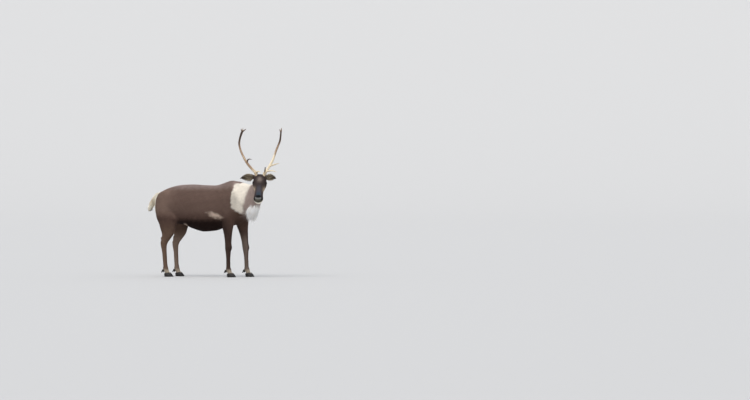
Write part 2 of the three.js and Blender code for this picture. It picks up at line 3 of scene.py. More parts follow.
import bmesh
import bpy
import numpy as np
from mathutils import Matrix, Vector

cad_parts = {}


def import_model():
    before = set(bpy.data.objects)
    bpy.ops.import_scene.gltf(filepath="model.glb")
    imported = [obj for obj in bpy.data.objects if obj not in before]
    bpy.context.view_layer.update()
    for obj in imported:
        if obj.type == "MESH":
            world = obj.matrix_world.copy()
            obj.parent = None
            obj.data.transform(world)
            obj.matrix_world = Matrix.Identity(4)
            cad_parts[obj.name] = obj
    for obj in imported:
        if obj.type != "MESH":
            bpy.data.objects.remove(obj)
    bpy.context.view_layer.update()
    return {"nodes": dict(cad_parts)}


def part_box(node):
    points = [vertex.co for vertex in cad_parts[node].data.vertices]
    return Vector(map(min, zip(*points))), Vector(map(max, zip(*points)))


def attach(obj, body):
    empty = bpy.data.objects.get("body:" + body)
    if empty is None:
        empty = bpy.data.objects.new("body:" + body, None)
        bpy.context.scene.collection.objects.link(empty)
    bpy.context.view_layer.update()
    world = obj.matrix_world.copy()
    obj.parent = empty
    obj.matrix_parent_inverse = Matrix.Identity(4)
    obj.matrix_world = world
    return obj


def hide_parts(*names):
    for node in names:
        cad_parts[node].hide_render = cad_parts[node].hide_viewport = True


# Looks of a standing bull caribou: one skin under a coat of mesh tufts, eyes, antlers and hooves
# Sizes are in millimetres in the body's own frame unless a name or comment says otherwise
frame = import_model()

MM = 0.001
SEED = 20

# Trunk sections: place, top, underside, half width and depth of coat over the skin
TRUNK = {
    "x": [-632, -606, -530, -410, -260, -105, 50, 200, 330, 440, 545, 635, 676],
    "top": [985, 1050, 1110, 1160, 1187, 1193, 1184, 1181, 1214, 1246, 1236, 1146, 1010],
    "bottom": [860, 760, 690, 655, 658, 603, 567, 580, 618, 640, 668, 735, 850],
    "half": [46, 118, 182, 212, 218, 232, 242, 236, 222, 204, 176, 122, 52],
    "coat": [14, 16, 17, 17, 16, 16, 16, 16, 17, 19, 24, 26, 22],
}
# Powers of a section's upper and lower part, and the share of its height where it is widest
TRUNK_POWERS = (2.05, 2.15)
TRUNK_WIDEST = 0.5

# Neck sections: place, turn, top, underside with mane, half width, coat and length of the mane
NECK = {
    "x": [360, 500, 600, 688, 756, 804, 842, 872],
    "y": [0, -4, -18, -46, -86, -130, -176, -214],
    "turn": [0, -3, -10, -22, -35, -48, -60, -68],
    "top": [1180, 1238, 1222, 1206, 1214, 1256, 1298, 1294],
    "bottom": [720, 705, 702, 700, 702, 712, 800, 1040],
    "half": [165, 166, 150, 129, 101, 77, 69, 71],
    "coat": [22, 24, 27, 27, 24, 20, 14, 10],
    "mane": [40, 50, 90, 128, 150, 170, 160, 40],
}
NECK_POWERS = (2.0, 2.0)
NECK_WIDEST = 0.58

# Head frame: a place between the eyes, and the turn, drop and roll of the face
EYE_LINE = (899, -260, 1190)
HEAD_TURN = -75
HEAD_DROP = 50
HEAD_ROLL = -3
# Head sections along the face from the eye line: above, below, half width and coat
HEAD = {
    "along": [-142, -122, -70, -15, 30, 80, 128, 172, 212, 248, 276, 292],
    "above": [22, 54, 76, 75, 69, 60, 53, 49, 47, 46, 36, 20],
    "below": [52, 84, 106, 112, 105, 95, 86, 80, 82, 84, 76, 40],
    "half": [34, 66, 88, 93, 86, 73, 63, 59, 61, 62, 50, 24],
    "coat": [9, 9, 8, 7, 6, 5, 5, 4, 4, 4, 3, 3],
}
HEAD_POWERS = (2.2, 2.1)

# Eyeball, its place in the head frame, the way it looks and the opening of its lids
EYE_RADIUS = 19
EYE_PLACE = (2, 70, 17)
EYE_LOOK = (0.46, 0.85, 0.24)
LID_HALF_LENGTH = 17.5
LID_HALF_HEIGHT = 10.5
LID_RADIUS = 21.2
LID_TURN = 15
# Rim of the lids: its height, and its middle and reach by share of the opening
LID_RIM = (1.4, 1.18, 0.16)
# How far out of the eye's middle the hollow lies, and where the lids fade into the face
LID_HOLLOW = 11
LID_END = (19, 34)
# Brow and bag of the eye: height, place and reach up, and place and reach forward
EYE_FORMS = [(4.5, 22, 9, -2, 22), (1.8, -19, 6, 0, 20)]

# Ears: root and tip in the head frame, and stations of half width, back and hollow
EARS = {
    "right": {"root": (-88, -60, 28), "tip": (-82, -256, 0)},
    "left": {"root": (-88, 60, 28), "tip": (-104, 200, 0)},
}
EAR = {
    "half": [22, 37, 54, 59, 50, 32, 9],
    "back": [26, 24, 22, 19, 16, 11, 5],
    "cup": [-20, -12, 2, 7, 6, 3, -2],
}
# How an ear's middle bows, the way it is broad, its coat and the share of its length with flesh
EAR_SAG = (0, 0, 2)
EAR_BROAD = (-0.35, 0, 0.94)
EAR_COAT = 7
EAR_LENGTH_SHARE = 0.92

# Tail stations: place, height, half width, half thickness and coat
TAIL = {
    "x": [-560, -606, -648, -682, -704, -716],
    "z": [1062, 1030, 982, 932, 890, 866],
    "half": [40, 46, 50, 46, 32, 8],
    "thick": [30, 34, 36, 34, 24, 6],
    "coat": [12, 14, 17, 18, 14, 5],
}
# Share of the tail's length with flesh
TAIL_LENGTH_SHARE = 0.82

# Leg stations from shoulder or hip down: height, place, side, half length, half width and coat
FORE_LEG = {
    "z": [1010, 860, 730, 630, 510, 430, 378, 325, 225, 140, 98, 66, 42],
    "x": [440, 428, 412, 414, 418, 420, 424, 420, 420, 420, 424, 436, 446],
    "y": [88, 112, 124, 130, 132, 132, 132, 132, 131, 130, 130, 130, 130],
    "length": [112, 132, 112, 80, 58, 50, 51, 41, 33, 33, 41, 37, 38],
    "width": [72, 84, 70, 56, 47, 42, 44, 37, 30, 31, 38, 36, 36],
    "coat": [20, 19, 16, 12, 10, 8, 7, 7, 7, 7, 8, 7, 5],
}
HIND_LEG = {
    "z": [1030, 900, 780, 670, 570, 490, 440, 395, 300, 160, 102, 68, 42],
    "x": [-430, -436, -422, -404, -402, -428, -454, -460, -452, -442, -436, -422, -411],
    "y": [96, 122, 138, 144, 146, 146, 146, 145, 144, 142, 141, 141, 141],
    "length": [130, 158, 156, 128, 98, 70, 56, 45, 36, 34, 42, 38, 39],
    "width": [76, 88, 84, 68, 54, 45, 43, 39, 32, 32, 38, 36, 36],
    "coat": [18, 17, 16, 14, 12, 10, 8, 7, 7, 7, 8, 7, 5],
}
# How far each leg stands ahead of its pair, at the foot and a metre up
LEGS = {
    "fore_right": {"stations": FORE_LEG, "side": -1, "foot": 0, "high": 0},
    "fore_left": {"stations": FORE_LEG, "side": 1, "foot": 150, "high": 30},
    "hind_right": {"stations": HIND_LEG, "side": -1, "foot": 0, "high": 0},
    "hind_left": {"stations": HIND_LEG, "side": 1, "foot": 38, "high": 64},
}
# Height above which the legs join the trunk at the coarse size
LEG_JOIN = 560

# Nostril: place, the way it looks, half length and half width; mouth: end, corner and height
NOSTRIL = (264, 46, 17)
NOSTRIL_LOOK = (0.6, 0.78, 0.18)
NOSTRIL_SIZE = (15, 6.5)
MUZZLE_END = 292
MOUTH_CORNER = 198
MOUTH_LEVEL = -19

# Bone and muscle forms of the head, mirrored: place, reach and height along the skin's own way
HEAD_FORMS = [
    ((-8, 50, 66), (26, 16, 14), 5.0),
    ((-70, 58, 40), (22, 18, 18), -5.0),
    ((-4, 80, -48), (44, 26, 30), 5.0),
    ((62, 66, 0), (38, 14, 9), 4.0),
    ((108, 60, -34), (34, 20, 20), -5.5),
    ((150, 54, 0), (40, 16, 14), -3.0),
    ((240, 50, -2), (24, 16, 14), 3.0),
    ((20, 0, 68), (40, 22, 14), -2.0),
    ((140, 0, 50), (60, 16, 12), 2.2),
    ((-122, 50, 66), (20, 20, 20), 8.0),
]
# Masses of the body: leg pair, place by its leg's shift, share of the shift, radii and first way
MUSCLES = [
    (FORE_LEG, (450, 108, 960), 0.5, (190, 82, 92), (0.45, 0.9)),
    (FORE_LEG, (382, 122, 735), 1, (66, 60, 62), (1, 0)),
    (HIND_LEG, (-425, 110, 900), 1, (205, 86, 146), (0.35, -0.93)),
    (HIND_LEG, (-350, 134, 745), 1, (84, 66, 74), (1, 0)),
]
MUSCLE_HEIGHT = 850
# Point of the hock: height of the leg's centre that it hangs on, place beside it, radii and ways
HOCK_HEIGHT = 455
HOCK_PLACE = (-34, 0, 18)
HOCK_RADII = (52, 20, 17)
HOCK_WAYS = np.array([(-0.2, 0, 0.98), (0, 1, 0), (0.98, 0, 0.2)])

# Cloven hoof: height stations of one toe, and how the pair stands
TOE = {
    "z": [0, 2, 6, 24, 46, 66],
    "x": [12, 12, 12, 6, -3, -12],
    "length": [49, 53, 55, 50, 41, 32],
    "width": [18, 21, 23, 23, 21, 18],
}
TOE_SPREAD = 25
TOE_SPLAY = 5
TOE_AHEAD = 4
TOE_HEEL = 0.82
TOE_POWERS = (1.7, 2.4)
CORONET_HEIGHT = 50
CORONET_SLOPE = 0.22
DEWCLAW = {"behind": 30, "height": 92, "spread": 21, "reach": (-24, 6, -40), "radius": [12, 12, 9, 3]}

# Antler beams in the head frame, with half widths and thicknesses
RIGHT_BEAM = {
    "along": [-96, -128, -198, -296, -412, -524, -610, -655, -650],
    "side": [-44, -56, -112, -178, -235, -280, -302, -290, -262],
    "high": [30, 56, 54, 44, 32, 30, 62, 128, 240],
    "half": [21, 19, 18, 22, 21, 17, 15, 15, 18],
    "thick": [21, 19, 16, 15, 14, 13, 13, 12, 10],
}
LEFT_BEAM = {
    "along": [-96, -128, -198, -280, -382, -480, -580, -668, -700],
    "side": [44, 58, 83, 111, 141, 159, 181, 214, 228],
    "high": [30, 56, 48, 34, 22, 14, 20, 64, 190],
    "half": [21, 19, 19, 25, 28, 23, 17, 14, 13],
    "thick": [21, 19, 16, 15, 14, 13, 13, 12, 10],
}
# Tines: beam place, tip, bend, half width, thickness and how brown they are
RIGHT_TINES = [
    (1, (-62, 11, 147), (-12, 0, 14), 12, 11, 0.1),
    (3, (-214, -108, 214), (-24, -16, 10), 12, 11, 0.95),
    (5.9, (-662, -318, -26), (6, 0, -4), 9, 9, 0.5),
    (8, (-652, -276, 297), (0, 0, 0), 12, 8, 0.8),
    (8, (-632, -206, 320), (0, 0, 0), 12, 8, 0.8),
    (8, (-676, -250, 286), (0, 0, 0), 10, 7, 0.6),
]
LEFT_TINES = [
    (1, (-75, 73, 242), (-16, 0, 6), 26, 9, 0.95),
    (1.5, (-82, 215, 141), (-20, 6, 0), 11, 10, 0.1),
    (2.8, (-214, 238, 160), (-20, 6, -14), 13, 11, 0.1),
    (6.1, (-652, 186, -64), (6, 0, -4), 9, 9, 0.4),
    (8, (-690, 241, 298), (0, 0, 0), 12, 8, 0.5),
    (8, (-664, 214, 304), (0, 0, 0), 9, 7, 0.5),
]
# How brown each beam is at its stations
RIGHT_BROWN = [0.5, 0.35, 0.45, 0.55, 0.62, 0.7, 0.9, 1.0, 0.95]
LEFT_BROWN = [0.45, 0.25, 0.12, 0.05, 0.15, 0.45, 0.68, 0.9, 0.9]
ANTLER_VOXEL = 0.0022
ANTLER_SMOOTH = 3
BEAM_RINGS = 90
TINE_RINGS = 30
ANTLER_CORNERS = 24
# Burr: how much it swells, and its middle and reach by share of the beam
BURR = (0.32, 0.125, 0.016)
# Heights of furrows and pearls, and where the pearls fade by distance from the seat
FURROW_HEIGHT = 0.9
PEARL_HEIGHT = 1.1
PEARL_END = (60, 190)
# Broad ways of a beam and of a low tine
PALM_WAY = (0.2, 0, 1.0)
TINE_WAY = (0.4, 0, 0.6)
# Colours of bone from pale to dark, of horn from dark to worn, and of iris, rim and pupil
BONE_COLOURS = ((218, 202, 172), (148, 120, 92), (70, 50, 36))
HORN_COLOURS = ((20, 18, 17), (56, 50, 45))
EYE_COLOURS = ((44, 27, 17), (16, 12, 11), (6, 6, 9))

# Skin: voxel sizes in metres, smoothing passes and share of faces kept away from the head
BODY_VOXEL = 0.013
BODY_SMOOTH = 7
# Wide smoothing above the legs, and how far the skin is let out again after it
BROAD_HEIGHT = 690
BROAD_SMOOTH = 30
BROAD_SWELL = 4
SKIN_VOXEL = 0.005
SKIN_SMOOTH = 5
BODY_KEPT = 0.22
SKIN_CORNERS = 48
SKIN_RINGS = 60
# Head that keeps all its faces: rear, half width and underside in the head frame
HEAD_KEPT = (-150, 260, -170)
# Face that is refined: rear, front, half width and half height, and reach round eye and nostril
FACE_BOX = (-95, 330, 105, 125)
EYE_REACH = 38
NOSTRIL_REACH = 26

# Colours of hair in display values, as seen in even light, besides the painted shade, highlight and sky
# reflection among them
COLOURS = {
    "brown": (106, 86, 77),
    "back": (146, 129, 123),
    "rump": (122, 101, 90),
    "lower": (88, 68, 60),
    # Painted shadow under the belly
    "belly_shade": (34, 20, 16),
    "buff": (220, 198, 180),
    "cream": (226, 217, 203),
    "bib": (255, 253, 250),
    # Grey of the painted shade in the neck's fold, also used for the pale spot over each eye's lid
    "fold_shade_grey": (150, 133, 126),
    "chest": (88, 68, 58),
    "white": (240, 232, 214),
    "tail": (216, 200, 174),
    "hind_leg": (100, 80, 67),
    "fore_leg": (62, 47, 41),
    "sock": (172, 158, 140),
    "face": (52, 43, 42),
    "dark_face": (40, 33, 33),
    "bridge": (64, 61, 66),
    # Painted reflection of the sky on the dark bridge of the nose
    "bridge_sky_reflection": (50, 59, 68),
    "nose": (12, 13, 15),
    "tan": (180, 160, 138),
    # Painted highlight on the top of the forehead
    "forehead_highlight": (122, 110, 102),
    "lip": (106, 105, 101),
    "chin": (236, 229, 214),
    "mouth": (82, 79, 70),
    "ear": (92, 78, 66),
    "ear_pale": (176, 162, 136),
    "throat": (134, 119, 110),
}

# Edges of the marks and of kinds of hair: where each begins and is full, by height, place or share
EDGES = {
    "rump": (220, 480),
    "back": (1085, 1180),
    "withers": (240, 400),
    "lower": (730, 870),
    "belly_shade": (690, 772),
    "belly_rear": (-330, -230),
    "belly_front": (330, 430),
    "flank": (0.1, 1.3),
    "groin": (0.5, 1.2),
    "leg": (0.3, 0.8),
    "hind_leg": (520, 760),
    "fore_leg": (640, 800),
    "inner_leg": (440, 620),
    "sock": (80, 112),
    "chest_rear": (400, 520),
    "chest_foot": (480, 640),
    "chest_top": (800, 880),
    "rump_patch": (550, 586),
    "rump_patch_side": (108, 140),
    "rump_patch_foot": (770, 830),
    "tail": (0.3, 0.6),
    "tail_back": (640, 665),
    "tail_tip": (880, 960),
    "cheek_side": (26, 46),
    "throat_top": (-92, -52),
    "throat_front": (130, 200),
    "bridge": (40, 120),
    "bridge_side": (12, 46),
    "bridge_sky_reflection": (140, 205),
    "muzzle": (200, 235),
    "nose": (0.6, 1.15),
    "nose_top": (10, 24),
    "lip_top": (172, 184),
    "lip_foot": (192, 206),
    "lip_side": (34, 54),
    "lip_front": (238, 256),
    "mouth_front": (240, 262),
    "chin_front": (176, 262),
    "chin_top": (-9, -1),
    "nostril": (1.1, 1.7),
    "eye_ring": (24, 46),
    "head": (0.2, 0.8),
    "head_rear": (-150, -110),
    "ear": (0.35, 0.6),
    "ear_hollow": (-0.15, 0.3),
    "ear_fringe": (-0.2, 0.9),
    "ear_root": (0.08, 0.25),
    "ear_middle": (0.5, 0.9),
    "ear_edge": (24, 36),
    "ear_edge_root": (0.1, 0.35),
    "ear_tip": (0.84, 1.0),
    "muzzle_hair": (60, 230),
    "eye_hair": (15, 38),
    "thigh_hair": (420, 700),
    "foot_hair": (90, 170),
    "upper_neck": (4.8, 6.6),
    "underside": (0.05, 0.75),
    "mane": (0.3, 0.8),
    "mane_front": (5.3, 6.3),
    "mane_top": (960, 1040),
}
# Lines of the neck's marks as pairs of height and place, or place and height
CREAM_REAR = ([880, 1040, 1120, 1200], [478, 476, 486, 508])
CREAM_FOOT = ([478, 550, 635, 690], [884, 830, 782, 740])
CREAM_TOP = ([500, 640, 700], [1186, 1196, 1240])
# Where the painted shade of the neck's fold begins: heights and neck stations
FOLD_SHADE_REAR = ([790, 960, 1160], [2.15, 2.9, 3.8])
BIB_TOP = ([620, 725], [800, 905])
# Spots: middle by place and height, and reach each way
FLANK_SPOT = (262, 788, 100, 40)
FLANK_SLANT = 0.3
GROIN_SPOT = (-190, 642, 44, 48)
# Painted highlight on the forehead: middle along the face, reach along it and across it
FOREHEAD_HIGHLIGHT = (-22, 40, 30)
CHEEK_SPOT = (104, 2, 40, 27)
NOSE_SPOT = (158, 36, 17)
# Mottling of the whole coat: amount, size and seed of each grain
MOTTLE = [(0.07, 110, 5), (0.06, 30, 6), (0.07, 11, 7)]

# Trunk stations behind this place are left out, so that their size doesn't reach over the tail
RUMP_END = -440
# Below 1, the ways of neighbouring parts mix further than their colours
WAY_SOFTNESS = 0.35

# Hair by part: length, width, spacing between roots, lift off the skin in degrees and droop
HAIR = {
    "trunk": (34, 4.2, 3.6, 19, 0.1),
    "neck": (50, 5.2, 3.9, 11, 0.7),
    "head": (12, 2.9, 2.9, 20, 0.0),
    "tail": (64, 6.0, 4.4, 30, 0.4),
    "ear_left": (24, 3.0, 2.8, 24, 0.0),
    "ear_right": (24, 3.0, 2.8, 24, 0.0),
    "leg": (18, 4.4, 4.3, 20, 0.0),
}
# Length, width and spacing on the thighs, round the muzzle, on the feet and by the eyes
THIGH_HAIR = (30, 4.8, 4.4)
MUZZLE_HAIR = (6.5, 2.5, 2.7)
FOOT_HAIR = (17, 4.2, 3.9)
EYE_HAIR = (5, 2.0, 2.4)
# Length, lift and droop of the mane under the throat
MANE_HAIR = (185, 30, 2.6)
# How much the hair of the body and legs turns down besides its own way
HAIR_FALL = 0.45
# Where no hair roots: under the coronet, round an antler's seat and between the lips
HAIR_FOOT = 47
ANTLER_SEAT = (-126, 52, 56)
SEAT_REACH = 21
LIP_GAP = 2.5
MOUTH_HALF = 75
# Height under which the neck's coat belongs to the mane's piece
MANE_TOP = 930
# Lines that the coats of ears, tail and trunk are peeled round, by place or height
EAR_PEEL = -90
TAIL_PEEL = -660
TRUNK_PEEL = 900
UV_PATCH = 0.003
# Share of the skin's own normal in the shading of each tuft
SOFT_SHARE = 0.6
# A tuft's width along it, its thickness by its width, how deep it roots and how far it bends back
TUFT_PROFILE = ([0, 0.35, 0.7, 1], [0.85, 1.0, 0.72, 0.2])
TUFT_THICKNESS = 0.55
TUFT_DEPTH = 1.2
TUFT_RETURN = 1.25
# Share of a tuft's length where its colour is taken
COLOUR_SHARE = 0.6
# Ring places along a short and a long tuft
SHORT = (0.0,)
LONG = (0.0, 0.38, 0.74)
# Pieces of the trunk's coat from place to place
TRUNK_PIECES = {"rear": (-900, -330), "loin": (-330, -40), "ribs": (-40, 250), "chest": (250, 900)}

# Camera: picture scale, where the soles' middle falls in the picture, turn, height and lens
METRES_PER_PIXEL = 0.0128
PICTURE_CENTRE = (375, 200)
BODY_PIXEL = (201.5, 276.6)
PICTURE_WIDTH = 750
CAMERA_TURN = 22
CAMERA_RISE = 0.4
CAMERA_FIELD = 10
SENSOR_WIDTH = 36

# Stage: floor and wall in metres, colours and light strengths
FLOOR_FLAT = 62
FLOOR_REACH = 150
WALL_HEIGHT = 70
FLOOR_COLOUR = (184, 183, 181)
DOME_COLOUR = (0.88, 0.92, 1.0)
DOME_STRENGTH = 1.0
# Soft lights: way by shares toward the camera, to its right and up, width in degrees, strength and colour
LIGHTS = {
    "key": ((0.75, -0.55, 1.25), 50, 1.9, (1.0, 0.975, 0.94)),
    "fill": ((0.9, 0.7, 0.35), 60, 0.9, (0.93, 0.96, 1.0)),
}


def unit(v):
    """Vectors scaled to length 1."""
    v = np.asarray(v, float)
    return v / np.maximum(np.linalg.norm(v, axis=-1, keepdims=True), 1e-12)


def dot(a, b):
    """Dot products along the last axis."""
    return np.sum(a * b, axis=-1)


def smooth(value, low, high):
    """0 below low, 1 above high, and 3t² - 2t³ between."""
    t = np.clip((np.asarray(value, float) - low) / (high - low), 0, 1)
    return t * t * (3 - 2 * t)


def bump(distance, reach):
    """Bell exp(-(distance / reach)²)."""
    return np.exp(-((np.asarray(distance, float) / reach) ** 2))


def turn_about(v, axis, angle):
    """v turned about a unit axis: v cos + (axis × v) sin + axis (axis · v)(1 - cos)."""
    c, s = math.cos(angle), math.sin(angle)
    return v * c + np.cross(axis, v) * s + axis * dot(axis, v) * (1 - c)


def head_axes():
    """Rows: forward along the face, to the animal's left, up off the face."""
    turn, drop = math.radians(HEAD_TURN), math.radians(HEAD_DROP)
    level = np.array([math.cos(turn), math.sin(turn), 0])
    forward = level * math.cos(drop) - np.array([0, 0, math.sin(drop)])
    up = level * math.sin(drop) + np.array([0, 0, math.cos(drop)])
    up = turn_about(up, forward, math.radians(HEAD_ROLL))
    return np.array([forward, np.cross(up, forward), up])


HEAD_AXES = head_axes()


def head_point(place):
    """Head-frame places moved to the body's frame."""
    return np.asarray(place, float) @ HEAD_AXES + np.array(EYE_LINE)


def head_place(points):
    """Body-frame points seen in the head frame."""
    return (points - np.array(EYE_LINE)) @ HEAD_AXES.T


def frame_shift():
    """Metres from the body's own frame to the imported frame, read off the left eye."""
    low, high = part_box("eye_left")
    return (np.array(low) + np.array(high)) / 2 - head_point(EYE_PLACE) * MM


SHIFT = frame_shift()


def to_frame(points):
    """Body-frame millimetres to packed-frame metres."""
    return np.asarray(points) * MM + SHIFT


def to_body(points):
    """Packed-frame metres to body-frame millimetres."""
    return (np.asarray(points) - SHIFT) / MM


def between(values, places):
    """Cubic through values at 0, 1, 2 and on, each slope the harmonic mean of its two steps."""
    values = np.asarray(values, float)
    places = np.clip(np.asarray(places, float), 0, len(values) - 1)
    step = np.diff(values)
    slope = np.zeros_like(values)
    slope[0], slope[-1] = step[0], step[-1]
    product = step[:-1] * step[1:]
    total = np.where(step[:-1] + step[1:] == 0, 1, step[:-1] + step[1:])
    slope[1:-1] = np.where(product > 0, 2 * product / total, 0)
    start = np.minimum(places.astype(int), len(values) - 2)
    t = places - start
    flat = t * t * (3 - 2 * t)
    ends = values[start] * (1 - flat) + values[start + 1] * flat
    return ends + slope[start] * t * (1 - t) ** 2 - slope[start + 1] * t * t * (1 - t)


def resample(table, rings, keep=1.0):
    """Every column of a table at evenly spaced places over its first share."""
    last = len(next(iter(table.values()))) - 1
    places = np.linspace(0, last * keep, rings)
    return {key: between(column, places) for key, column in table.items()}


def stack(*columns):
    """Columns or single values side by side as points."""
    return np.stack(np.broadcast_arrays(*columns), axis=-1).astype(float)


def section_rings(centre, side, up, half, rise, drop, corners, powers=(2.0, 2.0)):
    """Rings half·cos^(2/p) along side, and rise or drop·sin^(2/p) along up, p by upper or lower part."""
    angle = np.arange(corners) * 2 * math.pi / corners
    c, s = np.cos(angle), np.sin(angle)
    power = np.where(s >= 0, 2 / powers[0], 2 / powers[1])
    across = np.sign(c) * np.abs(c) ** power
    high = np.sign(s) * np.abs(s) ** power
    reach = np.where(s[None] >= 0, np.asarray(rise)[:, None], np.asarray(drop)[:, None])
    side = np.broadcast_to(side, centre.shape)
    up = np.broadcast_to(up, centre.shape)
    wide = side[:, None] * (np.asarray(half)[:, None] * across)[..., None]
    return centre[:, None] + wide + up[:, None] * (reach * high)[..., None]


def loft(rings):
    """Points and triangles of a closed tube over rings, each end a fan to its middle."""
    count, corners = rings.shape[:2]
    points = np.concatenate([rings.reshape(-1, 3), rings[:1].mean(1), rings[-1:].mean(1)])
    i = np.arange(corners)
    j = (i + 1) % corners
    start = (np.arange(count - 1) * corners)[:, None]
    a, b = start + i, start + j
    walls = np.stack([a, b, b + corners, a, b + corners, a + corners], -1).reshape(-1, 3)
    first, last = count * corners, count * corners + 1
    end = (count - 1) * corners
    front = np.stack([j, i, np.full(corners, first)], -1)
    rear = np.stack([end + i, end + j, np.full(corners, last)], -1)
    faces = np.concatenate([walls, front, rear])
    return points, outward(points, faces)


def outward(points, faces):
    """Triangles of a closed shape, flipped if their signed volume is negative."""
    a, b, c = (points[faces[:, k]] for k in range(3))
    volume = dot(np.cross(a, b), c).sum()
    return faces if volume > 0 else faces[:, ::-1]


def sweep_rings(centres, halves, thicks, side_way, corners):
    """Rings square to a path through centres, their side kept near side_way."""
    tangent = unit(np.gradient(centres, axis=0))
    side = unit(side_way - tangent * dot(tangent, np.asarray(side_way))[:, None])
    up = np.cross(tangent, side)
    return section_rings(centres, side, up, halves, thicks, thicks, corners)


def merge(shapes):
    """Points and faces of several shapes as one."""
    points, faces, start = [], [], 0
    for p, f in shapes:
        points.append(p)
        faces.append(f + start)
        start += len(p)
    return np.concatenate(points), np.concatenate(faces)


def new_object(name, points, faces, material=None):
    """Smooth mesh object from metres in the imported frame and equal-sided faces."""
    mesh = bpy.data.meshes.new(name)
    mesh.vertices.add(len(points))
    mesh.vertices.foreach_set("co", np.ascontiguousarray(points, dtype=np.float32).ravel())
    mesh.loops.add(faces.size)
    mesh.loops.foreach_set("vertex_index", np.ascontiguousarray(faces, dtype=np.int32).ravel())
    mesh.polygons.add(len(faces))
    starts = np.arange(len(faces), dtype=np.int32) * faces.shape[1]
    mesh.polygons.foreach_set("loop_start", starts)
    mesh.update(calc_edges=True)
    mesh.shade_smooth()
    obj = bpy.data.objects.new(name, mesh)
    bpy.context.scene.collection.objects.link(obj)
    if material:
        mesh.materials.append(material)
    return obj


def read_vectors(items, key):
    """A vector of every item of a mesh's collection as an array."""
    values = np.empty(len(items) * 3, dtype=np.float32)
    items.foreach_get(key, values)
    return values.reshape(-1, 3).astype(float)


def read_mesh(mesh):
    """Vertex places of a mesh."""
    return read_vectors(mesh.vertices, "co")


def vertex_normals(mesh):
    """Vertex normals of a mesh."""
    return read_vectors(mesh.vertex_normals, "vector")


def write_mesh(mesh, points):
    """Moves a mesh's vertices."""
    mesh.vertices.foreach_set("co", np.ascontiguousarray(points, dtype=np.float32).ravel())
    mesh.update()


def add_modifier(obj, kind, settings, chosen=None):
    """A modifier with its settings, kept to the chosen vertices where they are given."""
    modifier = obj.modifiers.new(kind.lower(), kind)
    for key, value in settings.items():
        setattr(modifier, key, value)
    if chosen is not None:
        group = obj.vertex_groups.new(name=kind.lower())
        group.add(np.flatnonzero(chosen).tolist(), 1.0, "REPLACE")
        modifier.vertex_group = group.name


def apply_modifiers(obj):
    """Replaces an object's mesh by its modified one and clears the modifiers."""
    graph = bpy.context.evaluated_depsgraph_get()
    mesh = bpy.data.meshes.new_from_object(obj.evaluated_get(graph))
    obj.modifiers.clear()
    old, obj.data = obj.data, mesh
    bpy.data.meshes.remove(old)
    obj.vertex_groups.clear()
    mesh.shade_smooth()


def voxel_join(obj, voxel, passes):
    """Joins overlapping closed shapes of an object into one skin and smooths it."""
    add_modifier(obj, "REMESH", {"mode": "VOXEL", "voxel_size": voxel})
    add_modifier(obj, "SMOOTH", {"factor": 0.5, "iterations": passes})
    apply_modifiers(obj)


def trunk_rings(corners, rings):
    """Level-sided trunk sections under the coat."""
    t = resample(TRUNK, rings)
    top, bottom = t["top"] - t["coat"], t["bottom"] + t["coat"]
    level = bottom + TRUNK_WIDEST * (top - bottom)
    centre = stack(t["x"] * 0.985, 0, level)
    half = t["half"] - t["coat"]
    side, up = np.array([0, 1, 0]), np.array([0, 0, 1])
    return section_rings(centre, side, up, half, top - level, level - bottom, corners, TRUNK_POWERS)


def neck_rings(corners, rings):
    """Upright neck sections that turn with the head, without the mane's hair."""
    t = resample(NECK, rings)
    top, bottom = t["top"] - t["coat"], t["bottom"] + t["mane"]
    level = bottom + NECK_WIDEST * (top - bottom)
    angle = np.radians(t["turn"])
    side = stack(-np.sin(angle), np.cos(angle), 0)
    centre = stack(t["x"], t["y"], level)
    half = t["half"] - t["coat"]
    return section_rings(centre, side, [0, 0, 1], half, top - level, level - bottom, corners, NECK_POWERS)


def head_rings(corners, rings):
    """Head sections along the face, under the coat."""
    t = resample(HEAD, rings)
    centre = head_point(stack(t["along"] * 0.99, 0, 0))
    above, below, half = (t[key] - t["coat"] for key in ("above", "below", "half"))
    return section_rings(centre, HEAD_AXES[1], HEAD_AXES[2], half, above, below, corners, HEAD_POWERS)


def leg_shift(leg, z):
    """How far a leg stands ahead of its pair at a height."""
    return leg["foot"] + (leg["high"] - leg["foot"]) * (np.asarray(z) / 1000) ** 2


def leg_rings(leg, corners, rings):
    """Level leg sections from shoulder or hip to the coronet, under the coat."""
    t = resample(leg["stations"], rings)
    centre = stack(t["x"] + leg_shift(leg, t["z"]), leg["side"] * t["y"], t["z"])
    length, width = t["length"] - t["coat"], t["width"] - t["coat"]
    return section_rings(centre, [0, 1, 0], [1, 0, 0], width, length, length, corners)


def leg_centre(leg, z):
    """Centre of a leg at a height."""
    table = leg["stations"]
    place = np.interp(-z, [-h for h in table["z"]], np.arange(len(table["z"])))
    x = between(table["x"], place) + leg_shift(leg, z)
    return np.array([x, leg["side"] * between(table["y"], place), z])


def tail_rings(corners, rings):
    """Tail sections under the long hair."""
    t = resample(TAIL, rings, TAIL_LENGTH_SHARE)
    half, thick = t["half"] - t["coat"], t["thick"] - t["coat"] * 0.8
    return sweep_rings(stack(t["x"], 0, t["z"]), half, thick, [0, 1, 0], corners)


def ear_frame(ear):
    """Root, tip, length way, broad way and rear way of an ear."""
    root, tip = head_point(ear["root"]), head_point(ear["tip"])
    way = unit(tip - root)
    broad = unit(np.array(EAR_BROAD) @ HEAD_AXES)
    broad = unit(broad - way * dot(broad, way))
    rear = np.cross(broad, way) * math.copysign(1, ear["tip"][1])
    return root, tip, way, broad, rear


